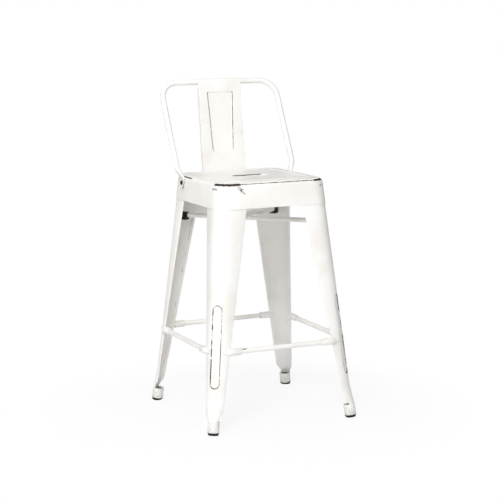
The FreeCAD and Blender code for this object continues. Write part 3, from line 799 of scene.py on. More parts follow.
@dataclass(frozen=True)
class AntiquedPaint:
    """White satin paint brushed on steel and antiqued by rubbing back: clean faces with dark, broken edges,
    and painted shade round the slat's panel and the left tab.

    A name that ends in mm holds a size.  A pair holds the values of a noise or of the wear at which a
    mark begins and is full.
    """

    paint: str = "#f5f3f0"
    shade: str = "#eeebe6"
    # The dark colour and the tan one paint wear, and also painted shade round the slat's panel and the left
    # tab.
    bare_metal_and_shade: str = "#2b211a"
    tan_mark: str = "#9c9085"
    roughness: float = 0.4
    bare_roughness: float = 0.6
    edge_mm: float = 1.4
    edge_patch_mm: float = 30.0
    edge_patches: tuple[float, float] = (0.5, 0.66)
    edge_turn: tuple[float, float] = (0.999, 0.93)
    edge_share: float = 0.62
    shade_mm: float = 90.0
    shade_patches: tuple[float, float] = (0.4, 0.7)
    stain_and_shade: tuple[float, float] = (0.2, 0.5)
    tan_share: float = 0.6
    chip_mm: float = 4.0
    chip_detail: float = 6.0
    chip_roughness: float = 0.62
    raggedness: float = 1.3
    bared_and_shaded: tuple[float, float] = (0.46, 0.56)
    outline_patch_mm: float = 26.0
    outline_patches: tuple[float, float] = (0.34, 0.6)
    outline_shares: tuple[float, float] = (0.55, 1.1)
    outline_turn_mm: float = 20.0
    speckle_mm: float = 1.6
    speckle_cover: tuple[float, float] = (0.55, 0.63)
    speckle_share: float = 0.85
    speckle_patch_mm: float = 14.0
    speckle_patches: tuple[float, float] = (0.36, 0.56)
    speckle_least: float = 0.3
    # Marks of a brush lie about 0.5 mm apart. They are drawn 1.8 mm wide so that they show.
    brush_mm: float = 1.8
    brush_depth_mm: float = 0.3
    brush_strength: float = 0.12

    def make(self) -> bpy.types.Material:
        """Builds the material.

        Returns:
            The material.
        """
        mix = Recipe("antiqued_white_paint_rubbed_back")
        chips = mix.noise(self.chip_mm, self.chip_detail, self.chip_roughness)
        broken = mix.math("MULTIPLY_ADD", chips, self.raggedness, -self.raggedness / 2)
        wear_and_shade = mix.math("ADD", self.wear_and_shade(mix), broken)
        patches = mix.ramp(mix.noise(self.edge_patch_mm), *self.edge_patches, 0.0, self.edge_share)
        worn = mix.math("MULTIPLY", self.edges(mix), patches)
        wear_and_shade = mix.math("MAXIMUM", wear_and_shade, mix.math("ADD", worn, broken))
        # Bare steel and its tan halo paint wear, and painted shade round the slat's panel and the left tab.
        bare_and_shade = mix.math("MAXIMUM", mix.ramp(wear_and_shade, *self.bared_and_shaded), self.speckles(mix))
        stain_and_shade = mix.ramp(wear_and_shade, *self.stain_and_shade, 0.0, self.tan_share)
        shaded = mix.ramp(mix.noise(self.shade_mm, 4.0, 0.5), *self.shade_patches)
        colour = mix.mix(shaded, srgb(self.paint), srgb(self.shade))
        colour = mix.mix(stain_and_shade, colour, srgb(self.tan_mark))
        colour = mix.mix(bare_and_shade, colour, srgb(self.bare_metal_and_shade))
        mix.link(colour, "Base Color")
        mix.link(mix.ramp(bare_and_shade, 0.0, 1.0, self.roughness, self.bare_roughness), "Roughness")
        mix.grain(self.brush_mm, self.brush_depth_mm, self.brush_strength)
        return mix.material

    def wear_and_shade(self, mix: Recipe) -> bpy.types.NodeSocket:
        """Depth of wear, and of painted shade, from 0 to 1 along the darkened lines.

        Args:
            mix: The material's recipe.

        Returns:
            The socket with the depth.
        """
        folded = mix.node("ShaderNodeVectorMath", {0: mix.place}, operation="ABSOLUTE").outputs["Vector"]
        total = None
        normal = mix.node("ShaderNodeNewGeometry").outputs["Normal"]
        level = mix.node("ShaderNodeVectorMath", {0: mix.place, 1: (1, 1, 0)}, operation="MULTIPLY")
        facing = mix.node("ShaderNodeVectorMath", {0: level.outputs["Vector"], 1: normal},
                          operation="DOT_PRODUCT").outputs["Value"]
        patchy = mix.ramp(mix.noise(self.outline_patch_mm), *self.outline_patches, *self.outline_shares)
        outward = mix.math("MULTIPLY", mix.ramp(facing, 0.0, self.outline_turn_mm * MM), patchy)
        for dark_line in WearAndShade().marks():
            far = self.distance(mix, folded if dark_line.folded else mix.place, dark_line)
            near = mix.ramp(far, 0.0, dark_line.reach * MM, dark_line.strength, 0.0)
            if dark_line.folded:
                near = mix.math("MULTIPLY", near, outward)
            total = near if total is None else mix.math("MAXIMUM", total, near)
        return total

    def distance(self, mix: Recipe, place: bpy.types.NodeSocket, dark_line: WearAndShadeLine) -> bpy.types.NodeSocket:
        """Distance from a place to a darkened line or to the outline round it.

        Args:
            mix: The material's recipe.
            place: Socket with the place.
            dark_line: The line.

        Returns:
            The socket with the distance in metres.
        """
        start, end = Vector(dark_line.start) * MM, Vector(dark_line.end) * MM
        way = end - start
        off = mix.node("ShaderNodeVectorMath", {0: place, 1: start}, operation="SUBTRACT").outputs["Vector"]
        dot = mix.node("ShaderNodeVectorMath", {0: off, 1: way / way.length_squared},
                       operation="DOT_PRODUCT").outputs["Value"]
        along = mix.math("MULTIPLY", dot, 1.0, clamp=True)
        foot = mix.node("ShaderNodeVectorMath", {0: way, "Scale": along}, operation="SCALE").outputs["Vector"]
        far = mix.node("ShaderNodeVectorMath", {0: off, 1: foot}, operation="DISTANCE").outputs["Value"]
        if dark_line.ring:
            far = mix.math("ABSOLUTE", mix.math("SUBTRACT", far, dark_line.ring * MM))
        return far

    def speckles(self, mix: Recipe) -> bpy.types.NodeSocket:
        """Fine chips round the sleeves at the feet.

        Args:
            mix: The material's recipe.

        Returns:
            The socket with the share of exposed steel.
        """
        height = mix.node("ShaderNodeSeparateXYZ", {0: mix.place}).outputs["Z"]
        low = mix.ramp(height, (BODY.sleeve_top - 2) * MM, (BODY.sleeve_top + 3) * MM, 1.0, 0.0)
        fine = mix.ramp(mix.noise(self.speckle_mm, 2.0), *self.speckle_cover, 0.0, self.speckle_share)
        patches = mix.ramp(mix.noise(self.speckle_patch_mm), *self.speckle_patches, self.speckle_least, 1.0)
        return mix.math("MULTIPLY", low, mix.math("MULTIPLY", fine, patches))

    def edges(self, mix: Recipe) -> bpy.types.NodeSocket:
        """Closeness to an edge, from how far a softened normal turns from the true one.

        Args:
            mix: The material's recipe.

        Returns:
            The socket with the closeness.
        """
        soft = mix.node("ShaderNodeBevel", {"Radius": self.edge_mm * MM}, samples=4).outputs["Normal"]
        true = mix.node("ShaderNodeNewGeometry").outputs["Normal"]
        dot = mix.node("ShaderNodeVectorMath", {0: soft, 1: true}, operation="DOT_PRODUCT").outputs["Value"]
        return mix.ramp(dot, *self.edge_turn)


@dataclass(frozen=True)
class MouldedRubber:
    """Matt black moulded rubber with a fine grain."""

    colour: str = "#141414"
    worn: str = "#2a2a29"
    roughness: float = 0.78
    dust_mm: float = 9.0
    dust_patches: tuple[float, float] = (0.5, 0.75)
    # The mould's grain is about 0.3 mm. It is drawn 1.2 mm wide so that it shows.
    grain_mm: float = 1.2
    grain_depth_mm: float = 0.2
    grain_strength: float = 0.25

    def make(self) -> bpy.types.Material:
        """Builds the material.

        Returns:
            The material.
        """
        mix = Recipe("moulded_black_rubber")
        dust = mix.ramp(mix.noise(self.dust_mm), *self.dust_patches)
        mix.link(mix.mix(dust, srgb(self.colour), srgb(self.worn)), "Base Color")
        mix.shader.inputs["Roughness"].default_value = self.roughness
        mix.grain(self.grain_mm, self.grain_depth_mm, self.grain_strength)
        return mix.material


@dataclass(frozen=True)
class BlackenedSteel:
    """Blackened steel of the bolts, with a low sheen and a trace of rust."""

    colour: str = "#26211d"
    rust: str = "#4a3527"
    metallic: float = 0.7
    roughness: float = 0.45
    rust_roughness: float = 0.75
    rust_patches: tuple[float, float] = (0.52, 0.7)
    # Spots of rust are under 1 mm wide. They are drawn 2.5 mm wide so that they show.
    rust_mm: float = 2.5

    def make(self) -> bpy.types.Material:
        """Builds the material.

        Returns:
            The material.
        """
        mix = Recipe("blackened_steel_turned")
        rust = mix.ramp(mix.noise(self.rust_mm, 4.0), *self.rust_patches)
        mix.link(mix.mix(rust, srgb(self.colour), srgb(self.rust)), "Base Color")
        mix.shader.inputs["Metallic"].default_value = self.metallic
        mix.link(mix.ramp(rust, 0.0, 1.0, self.roughness, self.rust_roughness), "Roughness")
        return mix.material


@dataclass
class Finishes:
    """The stool's materials."""

    paint: bpy.types.Material = field(default_factory=lambda: AntiquedPaint().make())
    rubber: bpy.types.Material = field(default_factory=lambda: MouldedRubber().make())
    steel: bpy.types.Material = field(default_factory=lambda: BlackenedSteel().make())

    def dress(self, piece: bpy.types.Object, material: bpy.types.Material, slot: str, *nodes: str) -> None:
        """Gives a finished piece its material, its body and the nodes it stands for.

        Args:
            piece: The finished object.
            material: Its material.
            slot: The record's material slot, which isn't used.
            nodes: The nodes of the frame that the piece replaces.
        """
        piece.data.materials.clear()
        piece.data.materials.append(material)
        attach(piece, "root")
        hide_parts(*nodes)
        LOG.info("%s stands for %s with %d faces", piece.name, ", ".join(nodes), len(piece.data.polygons))


    def dress_round(self, pattern: bpy.types.Object, stem: str, places: type[Enum],
                    material: bpy.types.Material, slot: str) -> list[bpy.types.Object]:
        """Turns dressed copies of a pattern piece to its places round the stool and removes the pattern.

        Args:
            pattern: The piece at the rear right corner or the rear side.
            stem: First part of the names, before the place.
            places: The corners or the sides.
            material: Material of the pieces.
            slot: The record's material slot.

        Returns:
            The four pieces.
        """
        made = []
        for place in places:
            name = f"{stem}_{place.name.lower()}"
            piece = copied(pattern, name, quarter(place.value))
            self.dress(piece, material, slot, name)
            made.append(piece)
        bpy.data.objects.remove(pattern)
        return made


@dataclass
class SeatPan:
    """Pressed seat with a leaning skirt, a stamped border, a lipped hand slot and a rear apron.

    Rings of one plane are set a plane step apart, because a pair in exactly one plane is bridged inside out.
    """

    finishes: Finishes
    edge_radius: float = 13.0
    edge_steps: int = 7
    corner_steps: int = 12
    border_inset: float = 27.0
    border_width: float = 10.0
    border_depth: float = 1.6
    border_draft: float = 2.0
    border_round: float = 0.9
    slot_length: float = 94.0
    slot_width: float = 28.0
    slot_lip_depth: float = 9.0
    slot_lip_radius: float = 2.5
    lip_steps: int = 4
    apron_bottom: float = 489.0
    apron_half: float = 107.0
    apron_corner: float = 12.0
    apron_steps: int = 6
    apron_limit: float = 0.97
    side_edges: int = 3
    plane_step: float = 0.04
    level: float = 0.99
    border_angle: float = 25.0
    shade_angle: float = 45.0

    def square(self, pen: Pen, half: float, radius: float, z: float) -> None:
        """Draws a square ring with round corners, with two extra points on each side.

        Args:
            pen: The pen to draw with.
            half: Half its width.
            radius: Radius of its corners.
            z: Its height.
        """
        flat = half - radius
        tight = self.apron_half / (BODY.skirt_plane(BODY.skirt_bottom) - BODY.seat_corner) * flat
        tight = min(tight, flat * self.apron_limit)
        pen.start(Vector((half, -flat, z)))
        for turn in range(4):
            spin = Matrix.Rotation(math.radians(90 * turn), 3, "Z")
            pen.to(*[spin @ Vector((half, y, z)) for y in (-tight, tight, flat)])
            pen.arc(spin @ Vector((flat, flat, z)), Z_AXIS, 90, self.corner_steps)
        pen.close()

    def stadium(self, pen: Pen, grow: float, z: float) -> None:
        """Draws the ring of the hand slot, with as many points as the square rings.

        Args:
            pen: The pen to draw with.
            grow: How far it lies outside the slot's wall.
            z: Its height.
        """
        r = self.slot_width / 2 + grow
        s = self.slot_length / 2 - self.slot_width / 2
        steps = 2 * (self.corner_steps + self.side_edges) - self.side_edges
        pen.start(Vector((s, -r, z)))
        for side in (1, -1):
            pen.arc(Vector((side * s, 0, z)), Z_AXIS, 180, steps)
            pen.to(*[Vector((side * s - side * 2 * s * k / self.side_edges, side * r, z))
                     for k in range(1, self.side_edges + 1)])
        pen.close()

    def build(self) -> bpy.types.Object:
        """Builds and dresses the seat.

        Returns:
            The piece.
        """
        top = BODY.seat_height
        rim = top - self.edge_radius
        pen = Pen("seat_pan")
        corner = BODY.seat_corner
        low = BODY.skirt_bottom
        self.square(pen, BODY.skirt_plane(low), BODY.leg_radius(low) + BODY.tuck, low)
        for step in range(self.edge_steps + 1):
            angle = math.radians(90 * step / self.edge_steps)
            z = rim + self.edge_radius * math.sin(angle)
            inset = self.edge_radius * (1 - math.cos(angle))
            self.square(pen, BODY.skirt_plane(z) - inset, corner - inset, z)
        outer = BODY.seat_width / 2 - self.border_inset
        inner = outer - self.border_width
        turn = corner - self.border_inset / 2
        floor = top - self.border_depth
        low = self.plane_step
        for half, radius, z in ((outer, turn, top - low),
                                (outer - self.border_draft, turn, floor),
                                (inner + self.border_draft, turn - self.border_width, floor - low),
                                (inner, turn - self.border_width, top - 2 * low),
                                (inner - self.border_draft, turn - self.border_width - self.border_draft,
                                 top - 3 * low)):
            self.square(pen, half, radius, z)
        top -= 4 * low
        self.stadium(pen, self.slot_lip_radius + self.border_draft, top)
        top -= low
        for step in range(self.lip_steps + 1):
            angle = math.radians(90 * step / self.lip_steps)
            grow = self.slot_lip_radius * (1 - math.sin(angle))
            self.stadium(pen, grow, top - self.slot_lip_radius * (1 - math.cos(angle)))
        self.stadium(pen, 0, top - self.slot_lip_depth)
        pen.bridge()
        self.draw_apron(pen)
        piece = pen.finish()
        self.turn_outwards(piece)
        bevel(piece, self.border_round, 3, self.border_angle)
        thicken(piece, BODY.seat_sheet, -1)
        smooth(piece, self.shade_angle)
        self.finishes.dress(piece, self.finishes.paint, "white_paint", "seat_pan")
        return piece

    def draw_apron(self, pen: Pen) -> None:
        """Extrudes the middle of the rear skirt's lower edge down and rounds its corners.

        Args:
            pen: The pen that drew the seat.
        """
        low = BODY.skirt_bottom
        pick(pen.piece, Mode.EDGE, lambda m, w: abs(m.z - low) < NEAR and m.y > 0 and abs(m.x) < NEAR)
        drop = self.apron_bottom - low
        out = BODY.skirt_plane(self.apron_bottom) - BODY.skirt_plane(low)
        extrude(Vector((0, out, drop)))
        pick(pen.piece, Mode.POINT, lambda m, w: m.z < self.apron_bottom + NEAR)
        bpy.ops.mesh.bevel(offset=self.apron_corner * MM, segments=self.apron_steps, affect="VERTICES")

    def turn_outwards(self, piece: bpy.types.Object) -> None:
        """Flips the open shell if its top faces point down.

        Args:
            piece: The shell.
        """
        if sum(f.normal.z * f.area for f in piece.data.polygons if abs(f.normal.z) > self.level) < 0:
            piece.data.flip_normals()


class SleeveLine:
    """The leaning axis of the rear right sleeve, from a height on it."""

    def __init__(self, z: float) -> None:
        """Takes the axis from the shared sizes.

        Args:
            z: Height of the axis's base point.
        """
        self.base = BODY.sleeve_point(z)
        self.up = (BODY.sleeve_point(BODY.seat_height) - BODY.sleeve_point(0)).normalized()
        self.side = self.up.cross(Z_AXIS).normalized()

    def at(self, out: float, along: float) -> Vector:
        """Point beside the axis, out from it and along it from its base."""
        return self.base + self.side * out + self.up * along


@dataclass
class Leg:
    """Pressed angle leg with hemmed edges, a rib on the corner, rail pockets and a rolled sleeve."""

    finishes: Finishes
    top_gap: float = 0.2
    hem_width: float = 7.0
    hem_tuck: float = 4.0
    notch_top: float = 58.0
    notch_reach: float = 19.0
    notch_steps: int = 6
    sleeve_overlap: float = 1.0
    flush: float = 0.02
    hem_run: float = 0.6
    rib_margin: float = 12.0
    rib_inner_margin: float = 18.0
    rib_pull: float = 0.6
    rib_bottom: float = 112.0
    rib_top: float = 317.0
    rib_width: float = 26.0
    rib_depth: float = 2.5
    rib_draft: float = 2.6
    corner_steps: int = 36
    nose_steps: int = 4
    collar_radius: float = 9.0
    pocket_end_radius: float = 3.0
    pocket_end_steps: int = 6
    pocket_length: float = 18.0
    pocket_steps: int = 40
    sleeve_lip: float = 0.4
    sleeve_steps: int = 48
    shade_angle: float = 50.0

    def width(self, z: float) -> float:
        """Width of the flange at height z, with the S-shaped run-in to the sleeve.

        Args:
            z: Height in millimetres.

        Returns:
            The width in millimetres.
        """
        low = BODY.sleeve_top
        if z >= self.notch_top:
            return BODY.flange_width(z)
        share = max(0.0, (z - low) / (self.notch_top - low))
        ease = share * share * (3 - 2 * share)
        return self.notch_reach + (BODY.flange_width(self.notch_top) - self.notch_reach) * ease

    def section(self, pen: Pen, z: float, fold: float) -> None:
        """Draws one closed ring of the leg.

        Args:
            pen: The pen to draw with.
            z: Height of the ring.
            fold: Thickness of the folded hem behind the flange.
        """
        t, g, r = BODY.leg_sheet, BODY.leg_plane(z), BODY.leg_radius(z)
        width = self.width(z)
        nose = (t + fold) / 2
        edge = g - width + nose
        back = self.hem_width
        middle = Vector((g - r, g - r, z))
        past = math.asin(max(0.0, edge + back - g + r) / (r - t))
        root = Vector((g - t, edge + back, z))
        if past:
            root = middle + Matrix.Rotation(past, 3, "Z") @ Vector((r - t, 0, 0))
        lead = past + math.radians(1) if past else 0.0
        first = middle + Matrix.Rotation(lead, 3, "Z") @ Vector((r - t, 0, 0))
        pen.start(Vector((edge + back, g - t - fold, z)))
        pen.to(Vector((edge, g - t - fold, z)))
        pen.arc(Vector((edge, g - nose, z)), Z_AXIS, -180, self.nose_steps)
        pen.to(Vector((g - r, g, z)))
        pen.arc(middle, Z_AXIS, -90, self.corner_steps)
        pen.to(Vector((g, edge, z)))
        pen.arc(Vector((g - nose, edge, z)), Z_AXIS, -180, self.nose_steps)
        pen.to(Vector((g - t - fold, edge + back, z)), root, first)
        pen.arc(middle, Z_AXIS, 90 - 2 * math.degrees(lead), self.corner_steps)
        pen.to(Vector((root.y, root.x, z)), Vector((edge + back, g - t - fold, z)))
        pen.close()

    def shell(self) -> bpy.types.Object:
        """Builds the pressed angle from the sleeve to the seat.

        Returns:
            The piece, before its rib is pressed.
        """
        low = BODY.sleeve_top - self.sleeve_overlap
        hem, flush = BODY.leg_sheet, self.flush
        hem_top = BODY.skirt_bottom + self.hem_tuck
        # Each level is a height, the hem's thickness there and the number of loops up to the next level.
        levels = [(low, flush, 0)]
        for step in range(1, self.notch_steps):
            levels.append((low + (self.notch_top - low) * step / self.notch_steps, hem, 0))
        levels += [(low + (self.notch_top - low), hem, 2),
                   (BODY.knee_height, hem, 1),
                   (self.rib_bottom - self.rib_margin, hem, 25),
                   (self.rib_bottom + self.rib_inner_margin, hem, 15),
                   (self.rib_top - self.rib_inner_margin, hem, 25),
                   (self.rib_top + self.rib_margin, hem, 12),
                   (hem_top, hem, 0),
                   (hem_top + self.hem_run, flush, 3),
                   (BODY.seat_height - SeatPan.edge_radius - self.top_gap, flush, 0)]
        pen = Pen("leg")
        for z, fold, _ in levels:
            self.section(pen, z, fold)
        pen.bridge([loops for _, _, loops in levels])
        pen.cap(0, len(levels) - 1)
        return pen.finish()

    def press_rib(self, piece: bpy.types.Object) -> None:
        """Pushes the slot-shaped rib into the corner, with soft sides.

        Args:
            piece: The leg's shell.
        """
        core = self.rib_width / 2 - self.rib_draft
        low = self.rib_bottom + self.rib_width / 2
        high = self.rib_top - self.rib_width / 2

        def in_rib(middle: Vector, way: Vector) -> bool:
            """True for points of the corner inside the rib's flat floor.

            Args:
                middle: Place of a point in millimetres.
                way: Its normal, which isn't used.

            Returns:
                Whether the point is in the rib.
            """
            r = BODY.leg_radius(middle.z)
            centre = BODY.leg_plane(middle.z) - r
            across = math.atan2(middle.y - centre, middle.x - centre) - math.pi / 4
            if abs(across) > math.pi / 4:
                return False
            u = math.sin(across) * r
            v = middle.z - min(max(middle.z, low), high)
            return math.hypot(u, v) < core and math.hypot(middle.x - centre, middle.y - centre) > r - 3

        with editing(piece):
            pick(piece, Mode.POINT, in_rib)
            bpy.ops.transform.translate(value=Vector((-1, -1, 0)).normalized() * self.rib_depth * MM,
                                        use_proportional_edit=True, proportional_edit_falloff="SMOOTH",
                                        proportional_size=(self.rib_draft + self.rib_pull) * MM)

    def sleeve(self) -> bpy.types.Object:
        """Builds the rolled sleeve at the foot.

        Returns:
            The piece.
        """
        line = SleeveLine(BODY.sleeve_bottom)
        outer, tall, lip = BODY.sleeve_radius, BODY.sleeve_length, self.sleeve_lip
        inner = outer - BODY.leg_sheet

        def profile(pen: Pen) -> None:
            """Draws the wall with small chamfers at its four corners.

            Args:
                pen: The pen to draw with.
            """
            wall = ((outer, lip), (outer, tall - lip), (outer - lip, tall), (inner + lip, tall),
                    (inner, tall - lip), (inner, lip), (inner + lip, 0), (outer - lip, 0), (outer, lip))
            pen.start(line.at(*wall[0]))
            pen.to(*[line.at(out, along) for out, along in wall[1:]])

        return spun("sleeve", profile, line.base, line.up, self.sleeve_steps)

    def pocket(self) -> bpy.types.Object:
        """Builds the tapered pocket for a rail, with its domed end, on the flange that faces +Y.

        Returns:
            The piece.
        """
        z = BODY.rail_height
        y = BODY.leg_plane(z) - BODY.leg_sheet / 2
        edge = BODY.leg_plane(z) - BODY.flange_width(z)
        r = self.collar_radius
        end = edge + self.pocket_length

        def profile(pen: Pen) -> None:
            """Draws the pocket's line from the flange's edge to its domed end.

            Args:
                pen: The pen to draw with.
            """
            pen.start(Vector((edge, y, z)))
            pen.to(Vector((edge, y, z + r)), Vector((end, y, z + self.pocket_end_radius)))
            pen.arc(Vector((end, y, z)), Y_AXIS, 90, self.pocket_end_steps)

        piece = spun("pocket", profile, Vector((0, y, z)), X_AXIS, self.pocket_steps)
        with editing(piece):
            bpy.ops.mesh.select_all(action="SELECT")
            bpy.ops.mesh.bisect(plane_co=Vector((0, y, z)) * MM, plane_no=Y_AXIS, clear_inner=True,
                                use_fill=True)
        return piece

    def build(self) -> list[bpy.types.Object]:
        """Builds one leg and turns copies of it to the four corners.

        Returns:
            The four pieces.
        """
        shell = self.shell()
        self.press_rib(shell)
        pocket = self.pocket()
        across_corner = Matrix(((0, 1, 0, 0), (1, 0, 0, 0), (0, 0, 1, 0), (0, 0, 0, 1)))
        other = copied(pocket, "other_pocket", across_corner)
        leg = joined("leg", [shell, self.sleeve(), pocket, other])
        smooth(leg, self.shade_angle)
        return self.finishes.dress_round(leg, "leg", Corner, self.finishes.paint, "white_paint")


@dataclass
class Foot:
    """Rubber foot: a disc cut flat on the floor, and a plug in the sleeve."""

    finishes: Finishes
    plug_length: float = 22.0
    plug_gap: float = 0.2
    edge_radius: float = 1.2
    edge_steps: int = 4
    round_steps: int = 48

    def build(self) -> list[bpy.types.Object]:
        """Builds one foot and turns copies of it to the four corners.

        Returns:
            The four pieces.
        """
        line = SleeveLine(BODY.foot_face_height)
        axis = line.up.cross(line.side).normalized()
        turn = -90 if axis.dot(line.side.cross(line.up)) > 0 else 90
        r, thick, e = BODY.foot_radius, BODY.foot_thickness, self.edge_radius
        plug = BODY.sleeve_radius - BODY.leg_sheet - self.plug_gap
        top = thick + self.plug_length

        def profile(pen: Pen) -> None:
            """Draws half the outline, from the axis below to the axis above.

            Args:
                pen: The pen to draw with.
            """
            pen.start(line.at(0, 0))
            pen.to(line.at(r - e, 0))
            pen.arc(line.at(r - e, e), axis, turn, self.edge_steps)
            pen.to(line.at(r, thick - e))
            pen.arc(line.at(r - e, thick - e), axis, turn, self.edge_steps)
            pen.to(line.at(plug, thick), line.at(plug, top - e), line.at(plug - e, top), line.at(0, top))

        foot = spun("foot", profile, line.base, line.up, self.round_steps)
        with editing(foot):
            bpy.ops.mesh.select_all(action="SELECT")
            bpy.ops.mesh.bisect(plane_co=ORIGIN, plane_no=Z_AXIS, clear_inner=True, use_fill=True)
        smooth(foot)
        return self.finishes.dress_round(foot, "foot", Corner, self.finishes.rubber, "black_rubber")


@dataclass
class FootRail:
    """Round bar with a collar at each end and a stub in each pocket."""

    finishes: Finishes
    bar_radius: float = 6.0
    collar_radius: float = 9.0
    mouth_radius: float = 8.5
    collar_length: float = 28.0
    stub_radius: float = 7.3
    stub_end_radius: float = 1.3
    stub_length: float = 18.0
    stub_gap: float = 0.2
    lip: float = 0.8
    round_steps: int = 40

    def build(self) -> list[bpy.types.Object]:
        """Builds one rail and turns copies of it to the four sides.

        Returns:
            The four pieces.
        """
        z = BODY.rail_height
        y = BODY.leg_plane(z) - BODY.leg_sheet / 2
        edge = BODY.leg_plane(z) - BODY.flange_width(z) - self.stub_gap
        mouth = edge - self.collar_length
        end = edge + self.stub_length
        half = [(end, 0), (end, self.stub_end_radius), (edge, self.stub_radius), (edge, self.collar_radius),
                (mouth + self.lip, self.mouth_radius),
                (mouth + self.lip / 3, self.mouth_radius - self.lip / 3),
                (mouth, self.mouth_radius - self.lip), (mouth, self.bar_radius)]
        outline = [(-x, r) for x, r in half] + [(x, r) for x, r in reversed(half)]

        def profile(pen: Pen) -> None:
            """Draws the rail's outline from one end to the other.

            Args:
                pen: The pen to draw with.
            """
            pen.start(Vector((outline[0][0], y, z)))
            pen.to(*[Vector((x, y, z + r)) for x, r in outline[1:]])

        rail = spun("rail", profile, Vector((0, y, z)), X_AXIS, self.round_steps)
        smooth(rail)
        return self.finishes.dress_round(rail, "foot_rail", Side, self.finishes.paint, "white_paint")


class Pipe(Pen):
    """A pen that carries a ring along a bent bar."""

    def ring(self, centre: Vector, axis: Vector, radius: float, points: int) -> None:
        """Draws the bar's first section round a centre.

        Args:
            centre: Middle of the section in millimetres.
            axis: Direction of the bar.
            radius: Radius of the bar.
            points: Number of points round it.
        """
        out = axis.orthogonal().normalized()
        self.start(centre + out * radius)
        self.arc(centre, axis, 360, points)
        self.close()
        self.pick_rings(len(self.rings) - 1)

    def bend(self, centre: Vector, axis: Vector, degrees: float, steps: int) -> None:
        """Spins the section round a bend by the right-hand rule about the axis."""
        bpy.ops.mesh.spin(steps=steps, angle=-math.radians(degrees), center=centre * MM, axis=axis)

    def cap_ends(self, reach: float) -> None:
        """Closes both ends of a bar along X.

        Args:
            reach: Distance of the ends from the middle in millimetres.
        """
        for side in (-1, 1):
            pick(self.piece, Mode.EDGE, lambda m, w: abs(m.x - side * reach) < NEAR)
            bpy.ops.mesh.edge_face_add()


